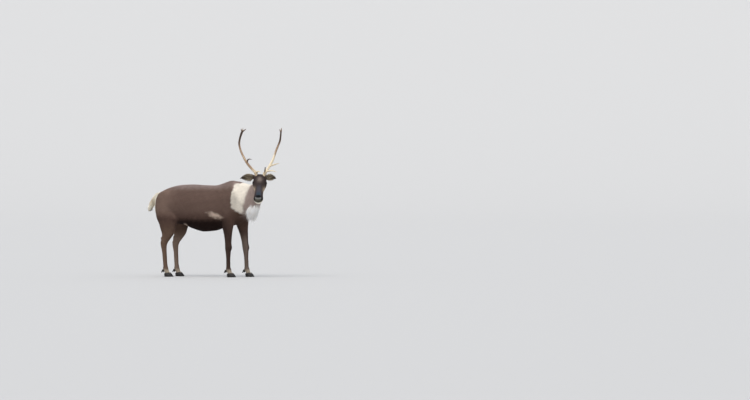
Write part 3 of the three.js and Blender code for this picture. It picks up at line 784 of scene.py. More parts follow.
def ear_rings(ear, corners, rings):
    """Cupped ear sections: half·cos along the broad way, back or hollow·sin along the rear way."""
    root, tip, _, broad, rear = ear_frame(ear)
    t = resample(EAR, rings)
    share = np.linspace(0, 1, rings)[:, None] * EAR_LENGTH_SHARE
    centre = root + (tip - root) * share + np.array(EAR_SAG) @ HEAD_AXES * 4 * share * (1 - share)
    angle = np.arange(corners) * 2 * math.pi / corners
    c, s = np.cos(angle), np.sin(angle)
    half = np.maximum(t["half"] - EAR_COAT, 4)[:, None] * c
    back = np.maximum(t["back"] - EAR_COAT * 0.4, 4)[:, None]
    cup = np.minimum(t["cup"], t["back"] - EAR_COAT * 0.4 - 9.5)[:, None]
    depth = np.where(s >= 0, back * s, -cup * s)
    return centre[:, None] + half[..., None] * broad + depth[..., None] * rear


def upper_only(rings, height):
    """The rings of a leg whose middles stand above a height."""
    return rings[rings[:, :, 2].mean(1) > height]


def ball(centre, radii, axes, count=20):
    """Ellipsoid of radii along the rows of axes, as rings from pole to pole."""
    latitude = np.linspace(0.12, math.pi - 0.12, count)
    middle = np.asarray(centre) + np.cos(latitude)[:, None] * radii[0] * axes[0]
    wide, high = np.sin(latitude) * radii[1], np.sin(latitude) * radii[2]
    return section_rings(middle, axes[1], axes[2], wide, high, high, count)


def leaning(along, high):
    """Axes of a ball whose first way lies in the body's upright plane."""
    return unit([[along, 0, high], [0, 1, 0], [-high, 0, along]])


def muscle_shapes():
    """Rounded masses of shoulder, elbow, haunch, thigh and hock that show through the coat."""
    shapes = []
    for leg in LEGS.values():
        shift = leg_shift(leg, MUSCLE_HEIGHT)
        for stations, (x, y, z), share, radii, way in MUSCLES:
            if stations is leg["stations"]:
                shapes.append(ball((x + shift * share, leg["side"] * y, z), radii, leaning(*way)))
        if leg["stations"] is HIND_LEG:
            shapes.append(ball(leg_centre(leg, HOCK_HEIGHT) + HOCK_PLACE, HOCK_RADII, HOCK_WAYS))
    return [loft(shape) for shape in shapes]


def body_form():
    """Trunk, neck and upper legs joined at a coarse size so that their meetings run smooth."""
    rings = [trunk_rings(SKIN_CORNERS, SKIN_RINGS), neck_rings(SKIN_CORNERS, SKIN_RINGS)]
    rings += [upper_only(leg_rings(leg, SKIN_CORNERS, SKIN_RINGS), LEG_JOIN) for leg in LEGS.values()]
    points, faces = merge([loft(r) for r in rings] + muscle_shapes())
    obj = new_object("body_form", to_frame(points), faces)
    voxel_join(obj, BODY_VOXEL, BODY_SMOOTH)
    points = to_body(read_mesh(obj.data))
    add_modifier(obj, "SMOOTH", {"factor": 0.5, "iterations": BROAD_SMOOTH}, points[:, 2] > BROAD_HEIGHT)
    apply_modifiers(obj)
    lift = BROAD_SWELL * smooth(points[:, 2], BROAD_HEIGHT, BROAD_HEIGHT + 60)
    write_mesh(obj.data, read_mesh(obj.data) + vertex_normals(obj.data) * (lift * MM)[:, None])
    return obj


def triangles(mesh):
    """Corner indices of a mesh's triangles."""
    mesh.calc_loop_triangles()
    faces = np.empty(len(mesh.loop_triangles) * 3, dtype=np.int32)
    mesh.loop_triangles.foreach_get("vertices", faces)
    return faces.reshape(-1, 3)


def skin_form():
    """The whole skin at a fine size: body form, head, ears, tail and legs joined."""
    form = body_form()
    shapes = [(read_mesh(form.data), triangles(form.data))]
    rings = [head_rings(SKIN_CORNERS, SKIN_RINGS), tail_rings(24, 30)]
    rings += [leg_rings(leg, 32, SKIN_RINGS) for leg in LEGS.values()]
    rings += [ear_rings(ear, 32, 40) for ear in EARS.values()]
    shapes += [(to_frame(p), f) for p, f in map(loft, rings)]
    bpy.data.objects.remove(form)
    obj = new_object("skin", *merge(shapes))
    voxel_join(obj, SKIN_VOXEL, SKIN_SMOOTH)
    return obj


def thin_body(obj):
    """Fewer faces away from the head and ears, where the coat hides the skin."""
    f, s, t = head_place(to_body(read_mesh(obj.data))).T
    rear, half, under = HEAD_KEPT
    away = (f < rear) | (np.abs(s) > half) | (t < under)
    add_modifier(obj, "DECIMATE", {"ratio": 1 - (1 - BODY_KEPT) * away.mean()}, away)
    apply_modifiers(obj)


def refine(obj, chosen):
    """Splits in two each way the faces whose corners are all chosen."""
    shape = bmesh.new()
    shape.from_mesh(obj.data)
    shape.verts.ensure_lookup_table()
    edges = [e for e in shape.edges if chosen[e.verts[0].index] and chosen[e.verts[1].index]]
    bmesh.ops.subdivide_edges(shape, edges=edges, cuts=1, use_grid_fill=True)
    bmesh.ops.triangulate(shape, faces=[f for f in shape.faces if len(f.verts) > 4])
    shape.to_mesh(obj.data)
    shape.free()


def eye_axes(side):
    """Look way, front-to-back way and upward way of one eye in the head frame."""
    look = unit([EYE_LOOK[0], side * EYE_LOOK[1], EYE_LOOK[2]])
    fore = np.array([0.95, 0, -0.2])
    fore = unit(fore - look * dot(look, fore))
    up = np.cross(look, fore) * side
    return look, fore, up


def eye_parts(place, side):
    """Depth, fore and up of head-frame places seen from one eye."""
    look, fore, up = eye_axes(side)
    v = place - np.array([EYE_PLACE[0], side * EYE_PLACE[1], EYE_PLACE[2]])
    return dot(v, look), dot(v, fore), dot(v, up)


def lid_gap(fore, up):
    """Below 1 inside the almond between the lids, above 1 outside it."""
    arch = np.sqrt(np.clip(1 - (fore / LID_HALF_LENGTH) ** 2, 0.02, 1)) ** 1.2
    high = np.where(up > 0, LID_HALF_HEIGHT, LID_HALF_HEIGHT * 0.82) * arch
    return np.maximum(np.abs(up) / high, np.abs(fore) / LID_HALF_LENGTH)


def sculpt_eye(place, side):
    """Lids drawn over the eyeball with a hollow between them, and brow, bag and tear gland."""
    depth, fore, up = eye_parts(place, side)
    look, _, _ = eye_axes(side)
    spread = np.hypot(fore, up)
    near = (depth > -12) & (spread < 46)
    dome = np.sqrt(LID_RADIUS**2 - np.minimum(spread, LID_TURN) ** 2)
    lid = dome - 0.5 * np.maximum(spread - LID_TURN, 0)
    gap = lid_gap(fore, up)
    height, middle, reach = LID_RIM
    rim = lid + height * bump(gap - middle, reach)
    target = np.where(gap < 1, np.minimum(rim, LID_HOLLOW), rim)
    step = target - depth
    inward = 1 - 0.7 * smooth(gap, 1.15, 1.7)
    moved = depth + np.where(step < 0, step * inward, step) * (1 - smooth(spread, *LID_END))
    shift = moved - depth
    for height, high, reach, ahead, length in EYE_FORMS:
        shift = shift + height * bump(up - high, reach) * bump(fore - ahead, length)
    gland = -3.2 * bump(np.hypot(fore - 31, (up + 9) * 1.8), 9)
    return np.where(near, shift + gland, 0)[:, None] * look


def nostril_parts(place, side):
    """Along, across and depth of head-frame places seen from one nostril."""
    look = unit([NOSTRIL_LOOK[0], side * NOSTRIL_LOOK[1], NOSTRIL_LOOK[2]])
    length = np.array([-0.62, side * 0.3, 0.72])
    length = unit(length - look * dot(look, length))
    across = np.cross(look, length)
    v = place - np.array([NOSTRIL[0], side * NOSTRIL[1], NOSTRIL[2]])
    return dot(v, length), dot(v, across), dot(v, look), look


def nostril_gap(place, side):
    """Below 1 inside a comma-shaped nostril."""
    along, across, depth, _ = nostril_parts(place, side)
    curve = across - 0.02 * along**2
    return np.hypot(along / NOSTRIL_SIZE[0], curve / NOSTRIL_SIZE[1]) + np.where(depth < -22, 9, 0)


def sculpt_nose(place):
    """Nostrils sunk into the muzzle with a low rim, and the groove under the nose."""
    shift = np.zeros_like(place)
    for side in (1, -1):
        gap = nostril_gap(place, side)
        look = nostril_parts(place, side)[3]
        shift += (-11 * (1 - smooth(gap, 0.45, 1.0)) + 2.0 * bump(gap - 1.25, 0.3))[:, None] * look
    groove = bump(place[:, 1], 2.6) * smooth(place[:, 0], 270, 282)
    shift[:, 0] -= 2.2 * groove * smooth(place[:, 2], -20, -12) * (1 - smooth(place[:, 2], 16, 28))
    return shift


def mouth_line(place):
    """Height of head-frame places over the line between the lips."""
    return place[:, 2] - MOUTH_LEVEL + 10 * smooth(MUZZLE_END - place[:, 0], 0, 84)


def sculpt_mouth(place, normal):
    """Groove between the lips with fuller lips above and below."""
    high = mouth_line(place)
    reach = smooth(place[:, 0], MOUTH_CORNER - 4, MOUTH_CORNER + 12)
    shift = -7.0 * bump(high, 3.4) + 2.4 * bump(high - 11, 8) + 1.8 * bump(high + 10, 7)
    return (shift * reach)[:, None] * normal


def sculpt_bones(place, normal):
    """Brow, cheek, jaw and bridge forms as bells along the skin's own way."""
    shift = np.zeros(len(place))
    mirrored = place * [1, 0, 1] + np.abs(place) * [0, 1, 0]
    for centre, reach, height in HEAD_FORMS:
        v = (mirrored - np.array(centre)) / np.array(reach)
        shift += height * np.exp(-dot(v, v))
    return shift[:, None] * normal


def sculpt_head(obj):
    """Moves the head's skin into brow, lids, nostrils, lips and cheeks."""
    points = to_body(read_mesh(obj.data))
    normal = vertex_normals(obj.data) @ HEAD_AXES.T
    place = head_place(points)
    shift = sculpt_bones(place, normal) + sculpt_mouth(place, normal) + sculpt_nose(place)
    face = smooth(place[:, 0], -150, -120) * (np.abs(place[:, 1]) < 110) * (np.abs(place[:, 2]) < 130)
    place = place + shift * face[:, None]
    for side in (1, -1):
        place = place + sculpt_eye(place, side) * (np.abs(place[:, :1]) < 80)
    write_mesh(obj.data, to_frame(head_point(place)))


def choose(obj, centres, reach):
    """True for vertices within reach of any of these head-frame places."""
    place = head_place(to_body(read_mesh(obj.data)))
    gaps = [np.linalg.norm(place - np.array(c), axis=1) for c in centres]
    return np.min(gaps, axis=0) < reach


def build_skin():
    """Finished skin: joined, thinned, refined toward the face and sculpted."""
    obj = skin_form()
    thin_body(obj)
    f, s, t = head_place(to_body(read_mesh(obj.data))).T
    rear, front, half, high = FACE_BOX
    refine(obj, (f > rear) & (f < front) & (np.abs(s) < half) & (np.abs(t) < high))
    both = [np.array([x, s * y, z]) for x, y, z in (EYE_PLACE, NOSTRIL) for s in (1, -1)]
    refine(obj, choose(obj, both[:2], EYE_REACH) | choose(obj, both[2:], NOSTRIL_REACH))
    sculpt_head(obj)
    return obj


def linear(colour):
    """Display values 0 to 255 as linear light."""
    c = np.asarray(colour, float) / 255
    return np.where(c <= 0.04045, c / 12.92, ((c + 0.055) / 1.055) ** 2.4)


LINEAR = {name: linear(value) for name, value in COLOURS.items()}


def paint(colour, layers):
    """Colours with named ones laid over them in turn, each by its own amount."""
    for name, amount in layers:
        colour = colour + (LINEAR[name] - colour) * np.clip(amount, 0, 1)[:, None]
    return colour


def plain(name, count):
    """One named colour for every point."""
    return np.tile(LINEAR[name], (count, 1))


def past(name, value):
    """How far values lie past a mark's edge, 0 to 1."""
    return smooth(value, *EDGES[name])


def before(name, value):
    """How far values lie before a mark's edge, 0 to 1."""
    return 1 - past(name, value)


def ripple(points, size, seed):
    """Soft noise from -1 to 1: a sum of four sines in random ways with waves about size long."""
    rng = np.random.default_rng(seed)
    total = np.zeros(len(points))
    for _ in range(4):
        way = unit(rng.normal(size=3)) * 2 * math.pi / size * rng.uniform(0.7, 1.5)
        total += np.sin(points @ way + rng.uniform(0, 6.28))
    return total / 4


def region_table():
    """Stations of every part: name, middle, size and the way its hair lies, for weighing."""
    rows = []

    def add(part, centres, sizes, ways):
        ways = np.broadcast_to(ways, centres.shape)
        rows.extend(zip([part] * len(centres), centres, sizes, ways))

    def size_of(rings):
        return np.linalg.norm(rings - rings.mean(1, keepdims=True), axis=2).mean(1)

    trunk = trunk_rings(16, 27)
    trunk = trunk[trunk[:, 0, 0] > RUMP_END]
    add("trunk", trunk.mean(1), size_of(trunk), [-1, 0, -0.25])
    neck = neck_rings(16, 15)
    add("neck", neck.mean(1)[2:], size_of(neck)[2:], -unit(np.gradient(neck.mean(1), axis=0))[2:])
    head = head_rings(16, 24)
    add("head", head.mean(1), size_of(head), -HEAD_AXES[0])
    tail = tail_rings(12, 9)
    add("tail", tail.mean(1)[1:], size_of(tail)[1:], unit(np.gradient(tail.mean(1), axis=0))[1:])
    for name, leg in LEGS.items():
        rings = leg_rings(leg, 12, 40)
        high = smooth(rings.mean(1)[:, 2:], 560, 860)
        add(name, rings.mean(1), size_of(rings), np.array([-0.12, 0, -1]) + high * np.array([-0.7, 0, 0.5]))
    for name, ear in EARS.items():
        rings = ear_rings(ear, 12, 14)
        add("ear_" + name, rings.mean(1)[2:], size_of(rings)[2:] * 1.1, ear_frame(ear)[2])
    return rows


REGIONS = region_table()
PARTS = sorted({row[0] for row in REGIONS})


def weigh(points):
    """Share of each part at body-frame points, exp(-5 (distance/size)²) summed, and the mean hair way."""
    shares = {part: np.zeros(len(points)) for part in PARTS}
    ways = np.zeros((len(points), 3))
    best = np.full(len(points), np.inf)
    gaps = []
    for _, centre, size, _ in REGIONS:
        v = points - centre
        gaps.append(dot(v, v) / size**2)
        best = np.minimum(best, gaps[-1])
    total = np.zeros(len(points))
    for (part, _, _, way), gap in zip(REGIONS, gaps):
        weight = np.exp(-5 * (gap - best))
        shares[part] += weight
        ways += (weight**WAY_SOFTNESS)[:, None] * way
        total += weight
    return {part: share / total for part, share in shares.items()}, unit(ways)


def legs_share(shares):
    """Share of all four legs together."""
    return sum(shares[name] for name in LEGS)


def neck_place(points):
    """Place of points along the neck in stations, by the foot of their nearest path point."""
    t = resample(NECK, 71)
    path = stack(t["x"], t["y"])
    gaps = np.linalg.norm(points[:, None, :2] - path[None], axis=2)
    return np.argmin(gaps, axis=1) / 10


def body_colour(points, normal, shares):
    """Brown trunk with paler back, painted shadow under the belly, buff flank, cream neck, bib, rump and leg
    marks.
    """
    x, y, z = points.T
    rough = ripple(points, 60, 1) * 10 + ripple(points, 22, 2) * 5
    high = z + rough
    middle = past("belly_rear", x) * before("belly_front", x)
    along, level, length, height = FLANK_SPOT
    flank = np.hypot((x - along) / length, (z - level + FLANK_SLANT * (x - along)) / height)
    flank = flank + 0.25 * ripple(points, 34, 10)
    along, level, length, height = GROIN_SPOT
    groin = np.hypot((x - along) / length, (z - level) / height)
    legs = legs_share(shares)
    fore = shares["fore_left"] + shares["fore_right"]
    inner = smooth(-normal[:, 1] * np.sign(y), 0.2, 0.8) * legs
    colour = paint(plain("brown", len(points)), [
        ("rump", past("rump", -x + 2 * rough)),
        ("back", past("back", high) * (0.9 - 0.4 * past("withers", x))),
        ("lower", before("lower", high)),
        # Near-black under the belly: painted shadow cast by the body
        ("belly_shade", before("belly_shade", high) * middle),
        ("buff", 0.85 * before("flank", flank + rough * 0.02)),
        ("buff", 0.6 * before("groin", groin + rough * 0.02)),
        ("hind_leg", before("hind_leg", high) * past("leg", legs - fore)),
        ("fore_leg", before("fore_leg", high) * past("leg", fore)),
        ("buff", 0.14 * inner * before("inner_leg", z)),
        ("sock", 0.8 * before("sock", z + rough * 0.3) * legs),
    ])
    return rump_colour(neck_colour(colour, points, rough), points, rough, shares)


def neck_colour(colour, points, rough):
    """Cream side patch under a brown ridge, grey painted shade along the neck's fold toward the jaw, and
    white mane under the throat.
    """
    x, y, z = points.T
    place = neck_place(points)
    forward = np.where(y < 0, x, x + 10) + rough * 0.8
    rear = np.interp(z, *CREAM_REAR)
    foot = np.interp(x, *CREAM_FOOT) + rough
    top = np.interp(x, *CREAM_TOP) + rough * 0.6
    patch = smooth(forward, rear - 7, rear + 9) * smooth(z, foot - 12, foot + 12)
    patch = patch * (1 - smooth(z, top - 6, top + 10))
    # Grey band along the neck's bend: painted shade of the fold between the cream side and the white mane
    fold_shade_grey = np.interp(z, *FOLD_SHADE_REAR) + rough * 0.02
    bib_top = np.interp(x, *BIB_TOP)
    bib = smooth(place, fold_shade_grey + 0.2, fold_shade_grey + 0.7) * (1 - smooth(z + rough, bib_top - 25, bib_top + 25))
    return paint(colour, [
        ("chest", past("chest_rear", x) * past("chest_foot", z) * before("chest_top", z)),
        ("cream", patch),
        ("fold_shade_grey", smooth(place, fold_shade_grey - 0.35, fold_shade_grey + 0.45)),
        ("bib", bib),
    ])


def rump_colour(colour, points, rough, shares):
    """Pale tail with a white tip, and white patch round its root."""
    x, y, z = points.T
    patch = past("rump_patch", -x + rough * 0.6) * before("rump_patch_side", np.abs(y) + rough)
    tail = np.maximum(past("tail", shares["tail"]), past("tail_back", -x) * (z > 800))
    return paint(colour, [
        ("white", patch * past("rump_patch_foot", z)),
        ("tail", tail),
        ("white", tail * before("tail_tip", z)),
    ])


def eye_layers(place):
    """Dark ring round each eye and a pale spot over its lid."""
    layers = []
    for side in (1, -1):
        depth, fore, up = eye_parts(place, side)
        spread = np.hypot(fore, up * 1.15)
        layers.append(("dark_face", 0.9 * before("eye_ring", spread) * (depth > -14)))
        layers.append(("fold_shade_grey", 0.95 * bump(up - 16, 4.5) * bump(fore - 3, 11) * (depth > 0)))
    return layers


def face_colour(place, rough):
    """Dark face with a dark bridge under a painted blue sky reflection, tan cheeks, black nose, pale band
    over the lips and white chin.
    """
    f, s, t = place.T
    wide = np.abs(s)
    rough = rough + 2 * ripple(place, 9, 4)
    # Paler forehead: painted highlight where the light falls on the top of the head
    middle, length, half = FOREHEAD_HIGHLIGHT
    forehead_highlight = bump(f - middle + 3 * rough, length) * bump(wide + 2 * rough, half) * (t > 20)
    along, high, length, height = CHEEK_SPOT
    cheek = bump(f - along + rough, length) * bump(t - high + rough, height)
    bridge = past("bridge", f + 4 * rough) * before("bridge_side", wide + 2 * rough) * (t > 0)
    low = 0.77 * f - 0.64 * t + rough * 0.6
    middle, half, height = NOSE_SPOT
    spot = np.hypot(wide / half, (low - middle) / height)
    band_low = low + 0.007 * wide**2
    band = past("lip_top", band_low) * before("lip_foot", band_low) * before("lip_side", wide)
    below = mouth_line(place)
    chin = before("chin_top", below + rough * 0.5 - 0.006 * wide**2)
    layers = [("forehead_highlight", 0.9 * forehead_highlight)] + eye_layers(place)
    layers += [
        ("tan", 0.95 * cheek * past("cheek_side", wide)),
        ("throat", 0.8 * before("throat_top", t) * before("throat_front", f)),
        ("bridge", bridge),
        # Blue on the bridge: painted reflection of the sky on the dark hair
        ("bridge_sky_reflection", bridge * past("bridge_sky_reflection", f + 4 * rough)),
        ("dark_face", 0.7 * past("muzzle", f)),
        ("nose", before("nose", spot) * past("nose_top", t)),
        ("lip", band * past("lip_front", f)),
        ("mouth", past("lip_foot", low) * past("mouth_front", f)),
        ("chin", past("chin_front", f + rough) * chin),
        ("mouth", 0.9 * bump(below, 5.0) * smooth(f, MOUTH_CORNER - 8, MOUTH_CORNER + 10)),
    ]
    layers += [("nose", before("nostril", nostril_gap(place, side))) for side in (1, -1)]
    return paint(plain("face", len(place)), layers)


def ear_colour(points, normal, ear):
    """Grey-brown ear with a pale rim, and pale fringes over painted shade that darkens its hollow most down
    the middle.
    """
    root, tip, way, broad, rear = ear_frame(ear)
    v = points - root
    along = dot(v, way) / np.linalg.norm(tip - root)
    sag = (4 * along * (1 - along))[:, None] * (np.array(EAR_SAG) @ HEAD_AXES)
    wide = dot(v - sag, broad)
    hollow = past("ear_hollow", -dot(normal, rear))
    stripes = np.sin(wide * 0.3 + along * 4 + 1.5 * ripple(points, 30, 11))
    fringe = past("ear_fringe", stripes) * past("ear_root", along) * (1 - 0.7 * past("ear_middle", along))
    edge = past("ear_edge", np.abs(wide)) * past("ear_edge_root", along)
    return paint(plain("ear", len(points)), [
        # Dark hollow, darkest down its middle: painted shade inside the ear's cup
        ("dark_face", hollow * (0.45 + 0.45 * bump(wide, 12))),
        ("ear_pale", 0.85 * hollow * fringe),
        ("ear_pale", 0.5 * edge * hollow),
        ("dark_face", 0.7 * past("ear_tip", along)),
    ])


def coat_colour(points, normal, shares):
    """Linear colour of the coat at body-frame points, by the parts' shares."""
    colour = body_colour(points, normal, shares)
    place = head_place(points)
    rough = ripple(points, 18, 3) * 3
    head = past("head", shares["head"]) * past("head_rear", place[:, 0])
    face = face_colour(place, rough)
    colour = colour + (face - colour) * head[:, None]
    for name, ear in EARS.items():
        share = past("ear", shares["ear_" + name])
        colour = colour + (ear_colour(points, normal, ear) - colour) * share[:, None]
    shade = np.ones(len(points))
    for amount, size, seed in MOTTLE:
        shade = shade + amount * ripple(points, size, seed)
    return np.clip(colour * shade[:, None], 0, 1)


def toward(fields, goal, amount):
    """Measures of hair moved toward a goal by an amount each."""
    return [field + (end - field) * amount for field, end in zip(fields, goal)]


def hair_fields(points, normal, shares):
    """Length, width, spacing, lift and droop of hair at body-frame points."""
    names = {"leg": legs_share(shares)}
    names.update({part: shares[part] for part in HAIR if part != "leg"})
    total = sum(share**2 for share in names.values())
    names = {part: share**2 / total for part, share in names.items()}
    fields = [sum(share * HAIR[part][k] for part, share in names.items()) for k in range(5)]
    shape, (lift, droop) = fields[:3], fields[3:]
    place = head_place(points)
    shape = toward(shape, MUZZLE_HAIR, names["head"] * past("muzzle_hair", place[:, 0]))
    for side in (1, -1):
        depth, fore, up = eye_parts(place, side)
        near = before("eye_hair", np.hypot(fore, up)) * (depth > -10)
        shape = toward(shape, EYE_HAIR, near * names["head"])
    shape = toward(shape, THIGH_HAIR, names["leg"] * past("thigh_hair", points[:, 2]))
    shape = toward(shape, FOOT_HAIR, names["leg"] * before("foot_hair", points[:, 2]))
    length, width, spacing = shape
    forward = neck_place(points)
    length = length * (1 - 0.45 * names["neck"] * past("upper_neck", forward))
    mane = past("underside", -normal[:, 2]) * past("mane", names["neck"])
    mane = mane * (1 - 0.85 * past("mane_front", forward)) * before("mane_top", points[:, 2])
    length, lift, droop = toward((length, lift, droop), MANE_HAIR, mane)
    return length, width, spacing, lift, droop


def open_skin(points):
    """True where hair may root: not in eye, nostril, mouth, antler seat or hoof."""
    place = head_place(points)
    free = points[:, 2] > HAIR_FOOT
    for side in (1, -1):
        depth, fore, up = eye_parts(place, side)
        free &= ~((lid_gap(fore, up) < 1.12) & (depth > 0) & (np.hypot(fore, up) < 30))
        free &= nostril_gap(place, side) > 1.05
        seat = np.array(ANTLER_SEAT) * [1, side, 1]
        free &= np.linalg.norm(place - seat, axis=1) > SEAT_REACH
    lips = (np.abs(mouth_line(place)) < LIP_GAP) & (place[:, 0] > MOUTH_CORNER)
    return free & ~(lips & (np.abs(place[:, 1]) < MOUTH_HALF))


def scatter(obj, rng):
    """Roots over the skin at random, as many to each triangle as its area over spacing² asks."""
    mesh = obj.data
    faces = triangles(mesh)
    points = to_body(read_mesh(mesh))
    normals = vertex_normals(mesh)
    corners = points[faces]
    middle = corners.mean(1)
    cross = np.cross(corners[:, 1] - corners[:, 0], corners[:, 2] - corners[:, 0])
    area = np.linalg.norm(cross, axis=1) / 2
    shares, _ = weigh(middle)
    spacing = hair_fields(middle, unit(cross), shares)[2]
    expected = area / spacing**2
    total = int(expected.sum())
    steps = (np.arange(total) + rng.uniform(0, 1, total)) / total
    order = np.lexsort((middle[:, 2].round(-1), middle[:, 0].round(-1)))
    found = np.searchsorted(np.cumsum(expected[order]) / expected.sum(), steps)
    chosen = order[found.clip(0, len(faces) - 1)]
    u, v = rng.uniform(0, 1, (2, total))
    flip = u + v > 1
    u, v = np.where(flip, 1 - u, u), np.where(flip, 1 - v, v)
    weights = np.stack([1 - u - v, u, v], -1)[..., None]
    roots = (points[faces[chosen]] * weights).sum(1)
    normal = unit((normals[faces[chosen]] * weights).sum(1))
    free = open_skin(roots)
    return roots[free], normal[free]


def unwrap(points, part):
    """Place of roots on a sheet peeled off a part: along its own path and round it."""
    if part in ("head", "ear_left", "ear_right"):
        place = head_place(points)
        along, round_ = place[:, 0], np.arctan2(place[:, 1], place[:, 2])
        if part != "head":
            along, round_ = place[:, 1], np.arctan2(place[:, 0] - EAR_PEEL, place[:, 2])
    elif part in LEGS:
        leg = LEGS[part]
        path = resample(leg["stations"], 60)
        order = np.argsort(path["z"])
        cx = np.interp(points[:, 2], path["z"][order], (path["x"] + leg_shift(leg, path["z"]))[order])
        cy = leg["side"] * np.interp(points[:, 2], path["z"][order], path["y"][order])
        along, round_ = points[:, 2], np.arctan2(points[:, 0] - cx, points[:, 1] - cy)
    elif part == "tail":
        along, round_ = points[:, 2], np.arctan2(points[:, 1], points[:, 0] - TAIL_PEEL)
    else:
        along, round_ = points[:, 0], np.arctan2(points[:, 1], points[:, 2] - TRUNK_PEEL)
    sheet = np.stack([along, round_], -1)
    low, high = sheet.min(0), sheet.max(0)
    return 0.01 + 0.98 * (sheet - low) / (high - low)


def flow_over(way, normal):
    """Hair ways laid along the skin."""
    return unit(way - normal * dot(way, normal)[:, None])


def tuft_shapes(roots, normal, way, fields, places, rng):
    """Ring and tip points of three-sided tufts that leave at their lift, bend back to the skin and droop."""
    length, width, _, lift, droop = fields
    count = len(roots)
    stretch = length * rng.uniform(0.78, 1.2, count)
    swing = rng.normal(0, 0.13, count) + 0.18 * ripple(roots, 70, 12)
    flow = flow_over(way, normal)
    side = np.cross(flow, normal)
    flow = unit(flow + side * swing[:, None])
    rise = np.radians(lift * rng.uniform(0.7, 1.35, count))
    down = np.array([0, 0, -1.0])
    spots, axes = [roots - normal * TUFT_DEPTH], []
    ends = np.append(places[1:], 1.0)
    for start, end in zip(places, ends):
        t = (start + end) / 2
        angle = rise * (1 - TUFT_RETURN * t)
        heading = flow * np.cos(angle)[:, None] + normal * np.sin(angle)[:, None]
        axes.append(unit(heading + down * (droop * t)[:, None]))
        spots.append(spots[-1] + axes[-1] * (stretch * (end - start))[:, None])
    profile = np.interp(places, *TUFT_PROFILE)
    rings = []
    for spot, axis, share in zip(spots, axes, profile):
        across = unit(np.cross(axis, normal))
        over = unit(np.cross(across, axis))
        wide = (width * share / 2)[:, None]
        high = over * wide * TUFT_THICKNESS
        rings.append(np.stack([spot + across * wide, spot + high, spot - across * wide], 1))
    return np.concatenate(rings + [spots[-1][:, None]], 1)


def tuft_faces(rings):
    """Triangles of one closed tuft with this many rings and a tip."""
    faces = [(0, 2, 1)]
    for k in range(rings - 1):
        for i in range(3):
            a, b = 3 * k + i, 3 * k + (i + 1) % 3
            faces += [(a, b, b + 3), (a, b + 3, a + 3)]
    last, tip = 3 * (rings - 1), 3 * rings
    faces += [(last + i, last + (i + 1) % 3, tip) for i in range(3)]
    return np.array(faces)


def add_attributes(mesh, colour, strand):
    """Point colours and strand values for the materials."""
    layer = mesh.attributes.new("coat", "FLOAT_COLOR", "POINT")
    rgba = np.concatenate([colour, np.ones((len(colour), 1))], 1).astype(np.float32)
    layer.data.foreach_set("color", rgba.ravel())
    layer = mesh.attributes.new("strand", "FLOAT_VECTOR", "POINT")
    layer.data.foreach_set("vector", strand.astype(np.float32).ravel())


def add_patches(mesh, faces, sheet, offsets):
    """OFBake map: each tuft a small patch at its root's place on the sheet."""
    uv = (sheet[:, None] + offsets[None] * UV_PATCH).reshape(-1, 2)
    layer = mesh.uv_layers.new(name="OFBake")
    layer.data.foreach_set("uv", uv[faces.ravel()].astype(np.float32).ravel())


def coat_piece(name, part, roots, normal, way, fields, places, material, rng):
    """One object of tufts, each with the colour of the place that its outer half covers, and its patch."""
    points = tuft_shapes(roots, normal, way, fields, places, rng)
    count, size = points.shape[:2]
    covered = roots + (points[:, -1] - roots) * COLOUR_SHARE
    colour = coat_colour(covered, normal, weigh(covered)[0])
    pattern = tuft_faces(len(places))
    sample = to_frame(points[0])
    if (outward(sample, pattern) != pattern).any():
        pattern = pattern[:, ::-1]
    faces = (pattern[None] + (np.arange(count) * size)[:, None, None]).reshape(-1, 3)
    obj = new_object(name, to_frame(points.reshape(-1, 3)), faces, material)
    soft = np.repeat(normal, size, axis=0) * SOFT_SHARE + vertex_normals(obj.data) * (1 - SOFT_SHARE)
    obj.data.normals_split_custom_set_from_vertices(unit(soft).astype(np.float32))
    along = np.append(np.repeat(places, 3), 1.0)
    across = np.append(np.tile([-1, 0, 1], len(places)), 0.0)
    lock = rng.uniform(0, 1, count)
    strand = np.stack(np.broadcast_arrays(across[None], along[None], lock[:, None]), -1).reshape(-1, 3)
    add_attributes(obj.data, np.repeat(colour, size, axis=0), strand)
    offsets = np.stack([across * 0.5, along - 0.5], -1)
    add_patches(obj.data, faces, unwrap(roots, part), offsets)
    return obj


def coat_groups(roots, normal, shares):
    """Masks that share the roots out between coat pieces."""
    x = roots[:, 0]
    names = np.array(PARTS)
    best = names[np.argmax([shares[part] for part in PARTS], axis=0)]
    short = ["head", *("ear_" + label for label in EARS)]
    groups = [("coat_" + name, name, SHORT, best == name) for name in short]
    mane = (normal[:, 2] < -0.05) | (roots[:, 2] < MANE_TOP)
    groups.append(("coat_neck_sides", "neck", LONG, (best == "neck") & ~mane))
    groups.append(("coat_neck_mane", "neck", LONG, (best == "neck") & mane))
    groups.append(("coat_tail", "tail", LONG, best == "tail"))
    groups += [("coat_" + name, name, SHORT, best == name) for name in LEGS]
    for label, (low, high) in TRUNK_PIECES.items():
        groups.append(("coat_trunk_" + label, "trunk", SHORT, (best == "trunk") & (x >= low) & (x < high)))
    return groups


def build_coat(skin, material):
    """All coat pieces over the skin."""
    rng = np.random.default_rng(SEED)
    roots, normal = scatter(skin, rng)
    shares, way = weigh(roots)
    head = shares["head"] + shares["ear_left"] + shares["ear_right"]
    way = unit(way + np.array([0, 0, -HAIR_FALL]) * (1 - head)[:, None])
    fields = np.array(hair_fields(roots, normal, shares))
    pieces = []
    for name, part, places, mask in coat_groups(roots, normal, shares):
        if mask.any():
            inputs = (roots[mask], normal[mask], way[mask], fields[:, mask])
            pieces.append(coat_piece(name, part, *inputs, np.array(places), material, rng))
    return pieces


